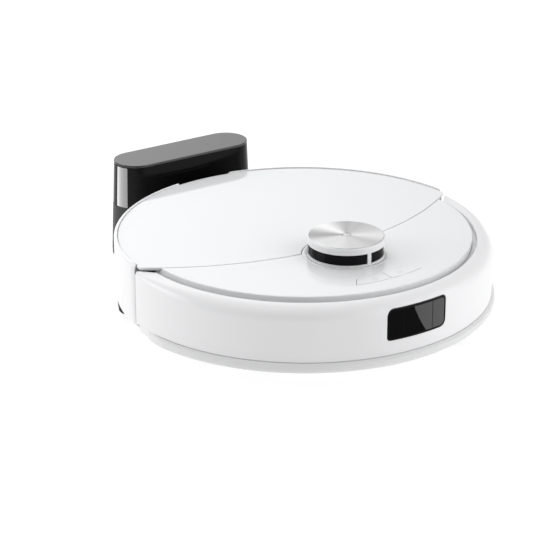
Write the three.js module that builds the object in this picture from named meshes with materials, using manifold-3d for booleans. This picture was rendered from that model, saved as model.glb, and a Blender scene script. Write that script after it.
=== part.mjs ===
// A robot vacuum standing at its charging dock, in millimetres, +Z up, floor at z = 0.
// The robot drives towards -Y, so its bumper faces -Y and the dock stands behind it at +Y.
// The origin is on the floor under the middle of the whole footprint, dock included.
// Angles round the robot are in degrees from straight ahead (-Y), positive towards +X (its left side).

import * as THREE from "three";
import { mergeVertices } from "three/addons/utils/BufferGeometryUtils.js";
import Module from "manifold-3d";

const wasm = await Module();
wasm.setup();

// ---- driving dimensions -------------------------------------------------------------------

const GAP = 0.3; // between pieces that sit against each other
const ROUND = 48; // straight sides that stand for a full turn on the large round parts
const TURRET_ROUND = 36;

const BODY_R = 174; // outer radius of the rear wall
const BUMPER_R = 175;
const BUMPER_INNER_R = 172;
const SKIRT_R = 178; // soft lip along the bottom of the bumper
const SEAM_ANGLE = 93.75; // where bumper and rear wall meet, each side
const SEAM_HALF_GAP = 0.9; // degrees

const TOP_Z = 78.5; // surface of the front deck and of the lid
const RIM_Z = 79.5; // top edge of the rear wall
const BUMPER_TOP_Z = 75.2;
const SKIRT_BOTTOM_Z = 15.5;
const WALL_BOTTOM_Z = 16.3;
const BASE_Z = 11; // underside of the base pan
const BASE_TOP_Z = 14;

const LID_R = 170.5;
const LID_THICKNESS = 2.6;
const DECK_R = 155.3;
const DECK_THICKNESS = 3;
const SEAM_ARC_R = 290; // the curved line between lid and deck
const SEAM_ARC_Y = 241.5; // its centre, behind the robot
const LID_SEAM = 0.4; // half of the gap along that line

const TURRET_Y = -67.6;
const TURRET_R = 35.2;
const TURRET_RING_R = 39.3;
const TURRET_TOP_Z = 96.5;
const TURRET_WINDOW_Z = [80.1, 90.1];
const TURRET_POST_HALF = 3.1; // degrees

const WINDOW_HALF_WIDTH = 31.6; // sensor window in the bumper
const WINDOW_Z = [38.8, 67.8];
const WINDOW_CORNER_R = 6.5;

const WHEEL_R = 35;
const WHEEL_X = 121;
const WHEEL_WIDTH = 22;
const TYRE_BORE = 26;
const TYRE_LUGS = 20;
const TYRE_ROOT_R = 33; // between the lugs
const ARM_PIVOT = { y: -45, z: 38 };
const ARM_X = [90, 108];
const WELL = { x0: 86, x1: 136, y0: -58, y1: 48, top: 72.3 };

const BRUSH = { y: 38, z: 24, r: 22, half: 76 };
const BRUSH_BOX = { half: 83, y0: 13, y1: 63, top: 50 };

const MOP_FRONT_Y = 68;
const SIDE_BRUSH = { x: 83, y: -94, arm: 54 };
const CASTER_Y = -127;
const CASTER_TRAIL = 3;
const CASTER_R = 13;

const BAY = { x0: -114, x1: 66, y0: 66, r: 157, floor: 14.5, top: 72 };
const INNER_DECK_R = 155;
const INNER_DECK_Z = [72.6, 74.8];
const WALL = 2.5; // of the bay, and of the dock's shells
const BIN_WALL = 2;
const BIN_Z = [18, 69.6];
const INLET = { x0: -58, x1: -2, z0: 32, z1: 52 }; // where dust enters the bin

const BLOWER = { y: 104, z: 45, r: 25.5, x0: 67, x1: 101 }; // its axis runs along X

const DOCK_Y = 212; // dock centre behind the robot's centre
const DOCK_SPINE = 52; // half the straight length between the round ends
const DOCK_TOP_R = 22;
const DOCK_FOOT_R = 26;
const DOCK_Z = 97;
const DOCK_SPLIT_Z = 53; // matt lower part, glossy upper part
const CONTACT_X = 26;
const CONTACT_Z = [27, 38];

// The whole footprint runs from the skirt's front to the dock's back, and its middle is the origin.
const ROBOT_Y = -(DOCK_Y + DOCK_FOOT_R - SKIRT_R) / 2;

// ---- materials ----------------------------------------------------------------------------

const material = (color, roughness, metalness = 0) =>
  new THREE.MeshStandardMaterial({ color, roughness, metalness });
const WHITE_GLOSS = material(0xf4f5f7, 0.15);
const WHITE_SATIN = material(0xefeff2, 0.35);
const SOFT_WHITE = material(0xe4e4e6, 0.6);
const GREY = material(0x8d9095, 0.5);
const DARK = material(0x2a2b2e, 0.55);
const BLACK_MATT = material(0x1b1b1d, 0.6);
const BLACK_GLOSS = material(0x060607, 0.06);
const SMOKED = material(0x0a0a0c, 0.05);
const ALUMINIUM = material(0xc9cacc, 0.3, 1);
const STEEL = material(0xb5b7ba, 0.35, 1);
const GOLD = material(0xc9a45c, 0.3, 1);
const RUBBER = material(0x1f2022, 0.85);
const BOARD = material(0x14532d, 0.5);
const CELL = material(0x2c4f8a, 0.5);
const CLOTH = material(0xb9c3d3, 0.95);
const FILTER = material(0xe9e6dc, 0.9);
const BRISTLE = material(0x3a3c40, 0.8);
const SMOKED_BIN = material(0x3c4046, 0.2);

// ---- geometry helpers ---------------------------------------------------------------------

const radians = (degrees) => (degrees * Math.PI) / 180;

// The point at an angle from straight ahead and a radius from the robot's centre.
const polar = (angle, r) => [r * Math.sin(radians(angle)), -r * Math.cos(radians(angle))];

// A closed geometry as a solid that can be joined and cut.
function solid(geometry) {
  const loose = geometry.index ? geometry.toNonIndexed() : geometry;
  const bare = new THREE.BufferGeometry().setAttribute("position", loose.getAttribute("position"));
  const merged = mergeVertices(bare, 1e-3);
  const index = merged.index.array;
  const triVerts = [];
  for (let i = 0; i < index.length; i += 3) {
    const [a, b, c] = index.subarray(i, i + 3);
    if (a !== b && b !== c && c !== a) triVerts.push(a, b, c);
  }
  return new wasm.Manifold(
    new wasm.Mesh({
      numProp: 3,
      vertProperties: merged.attributes.position.array,
      triVerts: new Uint32Array(triVerts),
    }),
  );
}

// A solid back as a three.js geometry.
function geometryOf(made) {
  const { numProp, numVert, vertProperties, triVerts } = made.getMesh();
  const positions = new Float32Array(numVert * 3);
  for (let i = 0; i < numVert; i++) {
    positions.set(vertProperties.subarray(i * numProp, i * numProp + 3), i * 3);
  }
  return new THREE.BufferGeometry()
    .setAttribute("position", new THREE.BufferAttribute(positions, 3))
    .setIndex(new THREE.BufferAttribute(triVerts, 1));
}

const join = (first, ...others) => others.reduce((all, s) => all.add(s), first);
const cut = (first, ...others) => others.reduce((left, s) => left.subtract(s), first);
const common = (first, ...others) => others.reduce((left, s) => left.intersect(s), first);

// A body of revolution about Z. The profile is [radius, z] points, anticlockwise; a profile that
// doesn't start and end on the axis is closed on itself.
function turned(profile, sides = ROUND) {
  const points = profile.map(([r, z]) => new THREE.Vector2(r, z));
  const onAxis = profile[0][0] === 0 && profile.at(-1)[0] === 0;
  if (!onAxis) points.push(points[0].clone());
  return solid(new THREE.LatheGeometry(points, sides).rotateX(Math.PI / 2));
}

// A flat outline in X and Y, raised from z0 to z1.
function raised(shape, z0, z1, curveSegments = ROUND / 2) {
  const geometry = new THREE.ExtrudeGeometry(shape, { depth: z1 - z0, bevelEnabled: false, curveSegments });
  return solid(geometry.translate(0, 0, z0));
}

const disc = (r, x = 0, y = 0) => new THREE.Shape().absarc(x, y, r, 0, 2 * Math.PI);
const outline = (points) => new THREE.Shape(points.map(([x, y]) => new THREE.Vector2(x, y)));
const tube = (r, z0, z1, x = 0, y = 0, sides = 36) => raised(disc(r, x, y), z0, z1, sides / 2);

function block(x0, x1, y0, y1, z0, z1) {
  const geometry = new THREE.BoxGeometry(x1 - x0, y1 - y0, z1 - z0);
  return solid(geometry.translate((x0 + x1) / 2, (y0 + y1) / 2, (z0 + z1) / 2));
}

function roundedRectangle(x0, x1, y0, y1, r) {
  const shape = new THREE.Shape();
  shape.absarc(x1 - r, y1 - r, r, 0, Math.PI / 2);
  shape.absarc(x0 + r, y1 - r, r, Math.PI / 2, Math.PI);
  shape.absarc(x0 + r, y0 + r, r, Math.PI, 1.5 * Math.PI);
  shape.absarc(x1 - r, y0 + r, r, 1.5 * Math.PI, 2 * Math.PI);
  return shape;
}

// A rod along X, from x0 to x1.
function rod(r, x0, x1, y, z, sides = 24) {
  const geometry = new THREE.CylinderGeometry(r, r, x1 - x0, sides).rotateZ(Math.PI / 2);
  return solid(geometry.translate((x0 + x1) / 2, y, z));
}

// A rod along Y, from y0 to y1.
function rodY(r, y0, y1, x, z, sides = 16) {
  const geometry = new THREE.CylinderGeometry(r, r, y1 - y0, sides);
  return solid(geometry.translate(x, (y0 + y1) / 2, z));
}

// An outline in X (across) and Z (up), pushed through from y0 to y1.
function through(shape, y0, y1, curveSegments = 6) {
  const geometry = new THREE.ExtrudeGeometry(shape, { depth: y1 - y0, bevelEnabled: false, curveSegments });
  return solid(geometry.rotateX(Math.PI / 2).translate(0, y1, 0));
}

// An outline in Y and Z, pushed along X from x0 to x1.
function sideways(shape, x0, x1, curveSegments = 8) {
  const geometry = new THREE.ExtrudeGeometry(shape, { depth: x1 - x0, bevelEnabled: false, curveSegments });
  const turn = new THREE.Matrix4().set(0, 0, 1, x0, 1, 0, 0, 0, 0, 1, 0, 0, 0, 0, 0, 1);
  return solid(geometry.applyMatrix4(turn));
}

// A wedge from the robot's axis, between two angles less than half a turn apart.
function wedge(from, to, z0 = -10, z1 = 120, reach = 500) {
  const steps = 4;
  const points = [[0, 0]];
  for (let i = 0; i <= steps; i++) points.push(polar(from + ((to - from) * i) / steps, reach));
  return raised(outline(points), z0, z1);
}

// The zone behind the curved line between deck and lid, moved back by a gap.
const behindSeam = (gap) => tube(SEAM_ARC_R - gap, -10, 120, 0, SEAM_ARC_Y, 160);

const moved = (s, x, y, z = 0) => s.translate([x, y, z]);

// ---- the object ---------------------------------------------------------------------------

const vacuum = new THREE.Group();
const robot = new THREE.Group();
robot.position.set(0, ROBOT_Y, 0);
const dock = new THREE.Group();
dock.position.set(0, ROBOT_Y + DOCK_Y, 0);
vacuum.add(robot, dock);

function piece(parent, name, made, look) {
  const mesh = new THREE.Mesh(geometryOf(made), look);
  mesh.name = name;
  parent.add(mesh);
  return mesh;
}

// Where the sensors that watch for a drop look through the base pan.
const CLIFF_SENSORS = [polar(-48, 140), polar(14, 143), polar(-97, 147), polar(97, 147)];

// The base pan: a dished plate with a wall at the front that the bumper closes on, and openings
// for wheels, brushes, caster and floor sensors.
function basePan() {
  const pan = turned([
    [0, BASE_Z], [158, BASE_Z], [164.5, 15.5], [164.5, 22], [161.5, 22], [161.5, 17], [156.5, BASE_TOP_Z],
    [0, BASE_TOP_Z],
  ]);
  const frontWall = cut(
    turned([[150.4, 12], [152.3, 12], [152.3, 75.2], [150.4, 75.2]]),
    wedge(82, 180),
    wedge(180, 278),
  );
  const wells = [1, -1].map((side) => {
    const inner = side * (WELL.x0 + 2);
    const outer = side * (WELL.x1 - 2);
    return block(Math.min(inner, outer), Math.max(inner, outer), WELL.y0 + 1, WELL.y1 - 1, 0, 30);
  });
  const { half, y0, y1 } = BRUSH_BOX;
  const brushMouth = block(-half - 1, half + 1, y0 - 1, y1 + 3, 0, 30);
  const casterHole = tube(18, 0, 30, 0, CASTER_Y);
  const sideBrushHole = tube(6, 0, 30, SIDE_BRUSH.x, SIDE_BRUSH.y, 24);
  const sensorHoles = CLIFF_SENSORS.map(([x, y]) => tube(7.3, 0, 30, x, y, 24));
  return cut(join(pan, frontWall), ...wells, brushMouth, casterHole, sideBrushHole, ...sensorHoles);
}

const cliffSensor = ([x, y]) =>
  moved(turned([[0, 11.6], [5.6, 11.6], [7, 12.4], [7, 16.4], [0, 16.4]], 24), x, y);

// The rear wall, with a ledge that the lid rests on, ends that close the seam, the finger notch
// for the lid, exhaust slots, and pockets for the charging contacts and the infrared window.
function rearShell() {
  const wall = turned([
    [165, WALL_BOTTOM_Z], [169.5, WALL_BOTTOM_Z], [172.3, 23], [173.7, 34], [BODY_R, 48], [BODY_R, 73.5],
    [173.3, 77.8], [171.8, RIM_Z], [170.9, 79.3], [170.9, 75.2], [155.6, 75.2], [155.6, 72.8], [170.4, 72.8],
    [170.9, 48], [169.4, 24], [165, 19],
  ]);
  const start = SEAM_ANGLE + SEAM_HALF_GAP;
  const rear = join(wedge(start, 180), wedge(180, 360 - start));
  const closing = turned([[156, 23], [172, 23], [172, 74], [156, 74]]);
  const closed = 1.3; // degrees that each closed end takes
  const ends = [wedge(start, start + closed), wedge(360 - start - closed, 360 - start)];
  const notch = through(outline([[-32, 83], [-28.5, 76.4], [28.5, 76.4], [32, 83]]), 150, 190);
  const contactPockets = [-1, 1].map((side) => {
    const x = side * CONTACT_X;
    return cut(
      block(x - 9.3, x + 9.3, 150, 190, CONTACT_Z[0] - GAP, CONTACT_Z[1] + GAP),
      tube(171.6, 0, 100, 0, 0, ROUND),
    );
  });
  const windowPocket = cut(block(-22.3, 22.3, 150, 190, 44.7, 62.3), tube(172, 0, 100, 0, 0, ROUND));
  const slots = [];
  for (let angle = 116; angle <= 142; angle += 3.25) {
    const [x, y] = polar(angle, 172);
    const slot = block(-1.6, 1.6, -9, 9, 42, 62).rotate([0, 0, angle]);
    slots.push(moved(slot, x, y));
  }
  const shell = join(common(wall, rear), ...ends.map((end) => common(closing, end)));
  return cut(shell, notch, ...contactPockets, windowPocket, ...slots);
}

// A curved plate that fills a pocket in the rear wall.
function rearPlate(x0, x1, [z0, z1], inner, outer) {
  const ring = turned([[inner, z0], [outer, z0], [outer, z1], [inner, z1]]);
  return common(ring, block(x0, x1, 100, 200, z0 - 1, z1 + 1));
}

const chargeContact = (side) =>
  rearPlate(side * CONTACT_X - 9, side * CONTACT_X + 9, CONTACT_Z, 171.9, BODY_R - 0.1);

// The front deck: a plate in front of the curved seam, a skirt along its front edge, a collar
// round the turret and an opening for the two buttons.
function topDeck() {
  const front = cut(tube(DECK_R, TOP_Z - DECK_THICKNESS, TOP_Z, 0, 0, ROUND), behindSeam(-LID_SEAM));
  const edge = turned([[152.7, 69.5], [DECK_R, 69.5], [DECK_R, TOP_Z], [152.7, TOP_Z]]);
  const skirt = cut(edge, behindSeam(-LID_SEAM));
  const collar = tube(39.8, TOP_Z - DECK_THICKNESS, TOP_Z, 0, TURRET_Y);
  const turretHole = tube(36.5, 60, 100, 0, TURRET_Y);
  return cut(join(front, skirt, collar), turretHole, raised(buttonOutline(0), 60, 100));
}

// The two buttons share one outline: straight at the back, an arc along the front, cut corners.
function buttonOutline(inset) {
  const back = -121.5 - inset;
  const frontR = 136.5 - inset;
  const spread = 15 - inset * 0.6;
  const shape = new THREE.Shape();
  shape.moveTo(28 - inset, back);
  shape.lineTo(-28 + inset, back);
  const steps = 12;
  for (let i = 0; i <= steps; i++) {
    const [x, y] = polar(-spread + (2 * spread * i) / steps, frontR);
    shape.lineTo(x, y);
  }
  return shape;
}

// One button: its half of the outline.
function button(side) {
  const half = side < 0 ? block(-60, -GAP, -200, 0, 60, 100) : block(GAP, 60, -200, 0, 60, 100);
  return common(raised(buttonOutline(GAP), 74, TOP_Z - 0.1), half);
}

// The lid: everything behind the curved seam, with a notch round the turret.
function lid() {
  const plate = tube(LID_R, TOP_Z - LID_THICKNESS, TOP_Z, 0, 0, ROUND);
  return cut(common(plate, behindSeam(LID_SEAM)), tube(TURRET_RING_R + 1, 60, 100, 0, TURRET_Y));
}

// The deck under the lid, open over the bin.
function innerDeck() {
  const [z0, z1] = INNER_DECK_Z;
  const plate = common(tube(INNER_DECK_R, z0, z1, 0, 0, ROUND), behindSeam(1));
  return cut(plate, bayOutline(1.5, 60, 90), tube(39, 60, 90, 0, TURRET_Y));
}

// The bumper shell: a hollow half ring that curves in at the top to a narrow ledge.
function bumperShell() {
  const ring = turned([
    [169.6, SKIRT_BOTTOM_Z + 0.6], [171.6, SKIRT_BOTTOM_Z + 0.6], [172, 24.7], [174.4, 25.1],
    [BUMPER_R, 26.3], [BUMPER_R, 60.5], [174.1, 66.7], [171, 72], [166, 74.6], [159.8, BUMPER_TOP_Z],
    [159.8, 71.9], [165, 71.9], [169, 69.5], [171.4, 65], [BUMPER_INNER_R, 59], [BUMPER_INNER_R, 29],
    [169.6, 26],
  ]);
  const end = SEAM_ANGLE - SEAM_HALF_GAP;
  const rear = [wedge(end, 180), wedge(180, 360 - end)];
  return cut(ring, ...rear, windowCutter(GAP));
}

function windowCutter(margin) {
  const half = WINDOW_HALF_WIDTH + margin;
  const frame = roundedRectangle(-half, half, WINDOW_Z[0] - margin, WINDOW_Z[1] + margin, WINDOW_CORNER_R);
  return through(frame, -200, -150);
}

const sensorWindow = () =>
  common(turned([[172.2, 30], [174.9, 30], [174.9, 70], [172.2, 70]]), windowCutter(0));

// The sensor module behind the window: a camera in the middle and a line laser on each side.
function obstacleSensor() {
  const housing = block(-29, 29, -163.5, -152.7, 43, 66);
  const barrels = [[-21, 3.2], [0, 5.5], [21, 3.2]].map(([x, r]) => rodY(r, -166.5, -160, x, 54.5));
  return join(housing, ...barrels);
}

function bumperSkirt() {
  const ring = turned([
    [172.3, SKIRT_BOTTOM_Z], [175, SKIRT_BOTTOM_Z], [177.3, 16.8], [SKIRT_R, 19.2], [177.6, 22.2],
    [175.6, 24.6], [172.3, 24.3],
  ]);
  return cut(ring, wedge(87, 180), wedge(180, 273));
}

// ---- turret -------------------------------------------------------------------------------

function turretCap() {
  const cap = turned([
    [0, 92.2], [33.8, 92.2], [33.8, 78], [35.4, 78], [TURRET_R, 79.4], [TURRET_R, 94.4], [34.8, 95.7],
    [34.1, 96.1], [34.1, 95.4], [0, 95.4],
  ], TURRET_ROUND);
  const [low, high] = TURRET_WINDOW_Z;
  const openings = [0, 120, 240].map((post) =>
    common(
      wedge(post + TURRET_POST_HALF, post + 120 - TURRET_POST_HALF, low, high),
      tube(60, low, high),
    ),
  );
  return moved(cut(cap, ...openings), 0, TURRET_Y);
}

const onTurret = (profile) => moved(turned(profile, TURRET_ROUND), 0, TURRET_Y);
const turretDisc = () =>
  onTurret([[0, 95.6], [33.8, 95.6], [33.8, 96.1], [33.4, TURRET_TOP_Z], [0, TURRET_TOP_Z]]);
const turretWindow = () => onTurret([[31.6, 78.6], [33.5, 78.6], [33.5, 91.9], [31.6, 91.9]]);
const turretRing = () => onTurret([[36.6, 78.8], [TURRET_RING_R, 78.8], [38.9, 79.6], [37, 80]]);

// The fixed plate of the laser scanner, on three posts that meet the deck.
function lidarBase() {
  const plate = tube(33, 64, 67);
  const posts = [0, 75, 285].map((angle) => {
    const [x, y] = polar(angle, 44.5);
    const arm = block(-3.5, 3.5, -46, -25, 64, 67).rotate([0, 0, angle]);
    return join(arm, tube(4, 64, 75.2, x, y, 16));
  });
  return moved(join(plate, tube(9, 66, 70, 0, 0, 24), ...posts), 0, TURRET_Y);
}

// The spinning head: a toothed wheel under a round housing with two lens holes.
function lidarRotor() {
  const head = turned([
    [9.4, 67.4], [29, 67.4], [29, 70], [26, 71], [26, 88.6], [24.6, 90], [0, 90], [0, 71], [9.4, 71],
  ], 36);
  const lenses = [-10, 10].map((x) => rodY(4.6, -30, -18, x, 84.4));
  return moved(cut(head, ...lenses), 0, TURRET_Y);
}

// ---- wheels -------------------------------------------------------------------------------

// Everything in a wheel module is drawn for the left side (+X) and mirrored for the right one.
const onSide = (side, made) => (side > 0 ? made : made.mirror([1, 0, 0]));

// The well over a wheel, with the pin that the arm swings on.
function wheelWell() {
  const { x0, x1, y0, y1, top } = WELL;
  const well = cut(block(x0, x1, y0, y1, 14.4, top), block(x0 + 2, x1 - 2, y0 + 2, y1 - 2, 0, top - 2));
  return join(well, rod(4, x0 + 1, x1 - 1, ARM_PIVOT.y, ARM_PIVOT.z, 16));
}

// The swinging arm: gearbox case from the pivot to the axle, motor can on its inner end.
function wheelArm() {
  const shape = new THREE.Shape();
  shape.absarc(ARM_PIVOT.y, ARM_PIVOT.z, 10, Math.PI / 2, 1.5 * Math.PI);
  shape.absarc(0, WHEEL_R, 20, -Math.PI / 2, Math.PI / 2);
  const gearCase = sideways(shape, ARM_X[0], ARM_X[1]);
  const bore = rod(4.4, ARM_X[0] - 5, ARM_X[1] + 5, ARM_PIVOT.y, ARM_PIVOT.z, 16);
  const axle = rod(4, ARM_X[1] - 1, WHEEL_X + WHEEL_WIDTH / 2, 0, WHEEL_R, 16);
  return join(cut(gearCase, bore), axle);
}

// The hub: a dished disc with five holes.
function wheelHub() {
  const x0 = WHEEL_X - WHEEL_WIDTH / 2;
  const x1 = x0 + WHEEL_WIDTH;
  const disc = rod(TYRE_BORE - GAP, x0 + 1, x1 - 1, 0, WHEEL_R, 40);
  const dish = rod(22.5, x0 + 9, x1 + 5, 0, WHEEL_R, 40);
  const boss = rod(9, x0 + 1, x1 - 2, 0, WHEEL_R, 16);
  const bore = rod(4.4, x0 - 5, x1 + 5, 0, WHEEL_R, 16);
  const holeCircle = 15.8;
  const holes = [0, 1, 2, 3, 4].map((i) => {
    const angle = (i * 2 * Math.PI) / 5;
    const y = holeCircle * Math.sin(angle);
    const z = WHEEL_R + holeCircle * Math.cos(angle);
    return rod(4, x0 - 5, x1 + 5, y, z, 12);
  });
  return cut(join(cut(disc, dish), boss), bore, ...holes);
}

// The tyre: a rubber ring with cross lugs.
function tyre() {
  const step = (2 * Math.PI) / TYRE_LUGS;
  // One lug and the groove after it: the share of a step, and the radius there.
  const lug = [[0.06, WHEEL_R], [0.36, WHEEL_R], [0.64, WHEEL_R], [0.7, TYRE_ROOT_R], [1, TYRE_ROOT_R]];
  const points = [];
  for (let i = 0; i < TYRE_LUGS; i++) {
    for (const [share, r] of lug) {
      const angle = (i + share - 0.35) * step;
      points.push([r * Math.sin(angle), WHEEL_R - r * Math.cos(angle)]);
    }
  }
  const x0 = WHEEL_X - WHEEL_WIDTH / 2;
  const x1 = x0 + WHEEL_WIDTH;
  return cut(sideways(outline(points), x0, x1), rod(TYRE_BORE, x0 - 5, x1 + 5, 0, WHEEL_R, 40));
}

// ---- caster, brushes, mop -----------------------------------------------------------------

const casterSocket = () =>
  moved(turned([[18.2, 14.4], [22, 14.4], [22, 34], [0, 34], [0, 31.6], [18.2, 31.6]], 32), 0, CASTER_Y);

function casterFork() {
  const dome = moved(turned([[0, 10], [15.5, 10], [17.2, 12], [17.2, 29], [0, 29]], 32), 0, CASTER_Y);
  const y = CASTER_Y + CASTER_TRAIL;
  const slot = join(rod(13.8, -8, 8, y, CASTER_R), block(-8, 8, y - 13.8, y + 13.8, 0, CASTER_R));
  return cut(dome, slot, rod(2.4, -11, 11, y, CASTER_R, 16));
}

function casterWheel() {
  const y = CASTER_Y + CASTER_TRAIL;
  return join(rod(CASTER_R, -7, 7, y, CASTER_R, 32), rod(2, -10, 10, y, CASTER_R, 12));
}

// The floating head round the main brush: a half tunnel with a mouth below and a duct behind.
function brushHead() {
  const { half, y0, y1, top } = BRUSH_BOX;
  const shell = block(-half, half, y0, y1, 13, top);
  const tunnel = rod(24.6, -BRUSH.half - 2.4, BRUSH.half + 2.4, BRUSH.y, BRUSH.z);
  const mouth = block(-BRUSH.half - 2.4, BRUSH.half + 2.4, BRUSH.y - 21, BRUSH.y + 21, 0, BRUSH.z);
  const duct = block(INLET.x0, INLET.x1, BRUSH.y, y1 + 5, INLET.z0 + 1, INLET.z1 - 6);
  return cut(shell, tunnel, mouth, duct);
}

function brushCover() {
  const { half, y0, y1 } = BRUSH_BOX;
  const plate = raised(roundedRectangle(-half, half, y0, y1, 4), 8.6, 12.7, 4);
  const opening = roundedRectangle(-BRUSH.half - 2, BRUSH.half + 2, BRUSH.y - 20, BRUSH.y + 20, 3);
  const mouth = raised(opening, 0, 20, 4);
  const dish = sideways(outline([[y0 - 1, 8], [y0 - 1, 10.6], [y0 + 4, 8]]), -90, 90);
  return cut(plate, mouth, dish);
}

// The main brush: a core with six rubber vanes.
function mainBrush() {
  const vanes = 6;
  // One vane and the core up to the next: the turn from the vane's middle in radians, and the radius.
  const vane = [[-0.055, BRUSH.r], [0.055, BRUSH.r], [0.11, 10.5], [Math.PI / vanes, 9.4], [0.937, 10.5]];
  const points = [];
  for (let i = 0; i < vanes; i++) {
    for (const [turn, r] of vane) {
      const angle = (i * 2 * Math.PI) / vanes + turn;
      points.push([r * Math.cos(angle), r * Math.sin(angle)]);
    }
  }
  const length = 2 * BRUSH.half;
  const steps = 12;
  const geometry = new THREE.ExtrudeGeometry(outline(points), { depth: length, bevelEnabled: false, steps });
  const at = geometry.getAttribute("position");
  for (let i = 0; i < at.count; i++) {
    const along = at.getZ(i) / length;
    // The two halves of the vanes meet in a chevron at the middle.
    const twist = 1.1 * Math.abs(along - 0.5) * 2;
    const c = Math.cos(twist);
    const s = Math.sin(twist);
    at.setXY(i, at.getX(i) * c - at.getY(i) * s, at.getX(i) * s + at.getY(i) * c);
  }
  const roller = solid(geometry.rotateY(Math.PI / 2).translate(-BRUSH.half, BRUSH.y, BRUSH.z));
  const stubs = [-1, 1].map((side) => {
    const ends = [side * (BRUSH.half - 1), side * (BRUSH.half + 2)];
    return rod(5, Math.min(...ends), Math.max(...ends), BRUSH.y, BRUSH.z, 16);
  });
  return join(roller, ...stubs);
}

// The side brush: a hub on a short shaft with three arms, each ending in a flat tuft. One arm
// points at the robot's centre, so that all three lie under the body.
function sideBrush() {
  const inward = (Math.atan2(SIDE_BRUSH.x, -SIDE_BRUSH.y) * 180) / Math.PI;
  const hub = turned([[0, 3.4], [7, 3.4], [10, 5.4], [10, 9.6], [4, 10.4], [4, 19], [0, 19]], 32);
  const arms = [0, 1, 2].map((i) => {
    const bar = raised(
      outline([[-3.4, 6], [3.4, 6], [2.6, 30], [7, SIDE_BRUSH.arm], [-7, SIDE_BRUSH.arm], [-2.6, 30]]),
      3.6,
      6.4,
    );
    return bar.rotate([0, 0, 120 * i + inward]);
  });
  return moved(join(hub, ...arms), SIDE_BRUSH.x, SIDE_BRUSH.y);
}

function sideBrushMotor() {
  const motor = turned([[0, 19.6], [17, 19.6], [17, 34], [12, 34.4], [12, 52], [0, 52]], 32);
  return moved(motor, SIDE_BRUSH.x, SIDE_BRUSH.y);
}

function mopBracket() {
  const plate = turned([
    [0, 5.4], [158, 5.4], [166.5, 8.8], [170.3, 12.6], [170.3, 15.6], [165.6, 15.6], [158.4, 10.6], [0, 10.6],
  ]);
  return common(plate, block(-180, 180, MOP_FRONT_Y, 200, 0, 30));
}

function mopPad() {
  return common(tube(159, 0, 5.1, 0, 0, ROUND), block(-180, 180, MOP_FRONT_Y + 6, 200, -1, 30));
}

// ---- bin, blower and electronics ----------------------------------------------------------

const bayOutline = (margin, z0, z1) =>
  common(
    block(BAY.x0 + margin, BAY.x1 - margin, BAY.y0 + margin, 200, z0, z1),
    tube(BAY.r - margin, z0, z1, 0, 0, ROUND),
  );

function binBay() {
  const tray = cut(bayOutline(0, BAY.floor, BAY.top), bayOutline(WALL, BAY.floor + WALL, 100));
  const inlet = block(INLET.x0 - 2, INLET.x1 + 2, BAY.y0 - 5, BAY.y0 + 5, INLET.z0 - 2, INLET.z1 + 2);
  const outlet = block(BAY.x1 - 5, BAY.x1 + 5, 82, 126, 26, 64);
  return cut(tray, inlet, outlet);
}

function binTub() {
  const shell = bayOutline(WALL + 1, ...BIN_Z);
  const inside = bayOutline(WALL + 1 + BIN_WALL, BIN_Z[0] + BIN_WALL, 100);
  const inlet = block(INLET.x0, INLET.x1, BAY.y0, BAY.y0 + 9, INLET.z0, INLET.z1);
  const filterHole = block(BAY.x1 - 9, BAY.x1, 86, 122, 30, 60);
  return cut(shell, inside, inlet, filterHole);
}

// The bin's cover, with a finger dip in the middle of its back edge.
function binCover() {
  const plate = bayOutline(WALL + 1, BIN_Z[1] + GAP, 73.6);
  const grip = raised(roundedRectangle(-48, 4, 108, 136, 8), 71.6, 80, 6);
  return cut(plate, grip);
}

const binFilter = () => block(BAY.x1 - 17, BAY.x1 - 5.9, 84, 124, 27, 64);

// A body of revolution about the blower's axis; the profile is [radius, x] points.
const onBlowerAxis = (profile, sides) =>
  turned(profile, sides).rotate([0, 90, 0]).translate([0, BLOWER.y, BLOWER.z]);

// The blower's can: its eye faces the filter, its outlet the slots in the rear wall.
function blowerHousing() {
  const { y, z, r, x0, x1 } = BLOWER;
  const can = onBlowerAxis([
    [0, x1 - WALL], [0, x1], [r, x1], [r, x0], [13, x0], [13, x0 + WALL], [r - WALL, x0 + WALL],
    [r - WALL, x1 - WALL],
  ].reverse(), 36);
  return cut(can, block(x0 + 8, x1 - 8, y + 10, y + 40, z - 9, z + 9));
}

const fanMotor = () => onBlowerAxis([[0, 84], [3, 84], [3, 86], [12, 86], [12, 97.8], [0, 97.8]], 24);

// The fan: a plate with nine swept blades round a hub.
function fanImpeller() {
  const hub = onBlowerAxis([[0, 70.4], [5, 70.4], [8, 81], [22, 81.6], [22, 83.4], [0, 83.4]], 36);
  const blades = [];
  for (let i = 0; i < 9; i++) {
    const blade = block(71.5, 82.4, -0.7, 0.7, 6.5, 21.5).rotate([24, 0, 0]);
    blades.push(blade.translate([0, 2.6, 0]).rotate([40 * i, 0, 0]).translate([0, BLOWER.y, BLOWER.z]));
  }
  return join(hub, ...blades);
}

const batteryPack = () => raised(roundedRectangle(-65, 65, -103, -38, 5), 14.6, 36.6, 4);
const mainBoard = () => raised(roundedRectangle(-63, 63, -103, -38, 3), 40, 41.6, 3);

// ---- dock ---------------------------------------------------------------------------------

// The dock's outline: a straight middle with round ends. Its radius grows towards the floor.
function dockOutline(r) {
  const shape = new THREE.Shape();
  shape.absarc(DOCK_SPINE, 0, r, -Math.PI / 2, Math.PI / 2);
  shape.absarc(-DOCK_SPINE, 0, r, Math.PI / 2, 1.5 * Math.PI);
  return shape;
}

const dockRadius = (z) => DOCK_FOOT_R + ((DOCK_TOP_R - DOCK_FOOT_R) * z) / DOCK_Z;

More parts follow.
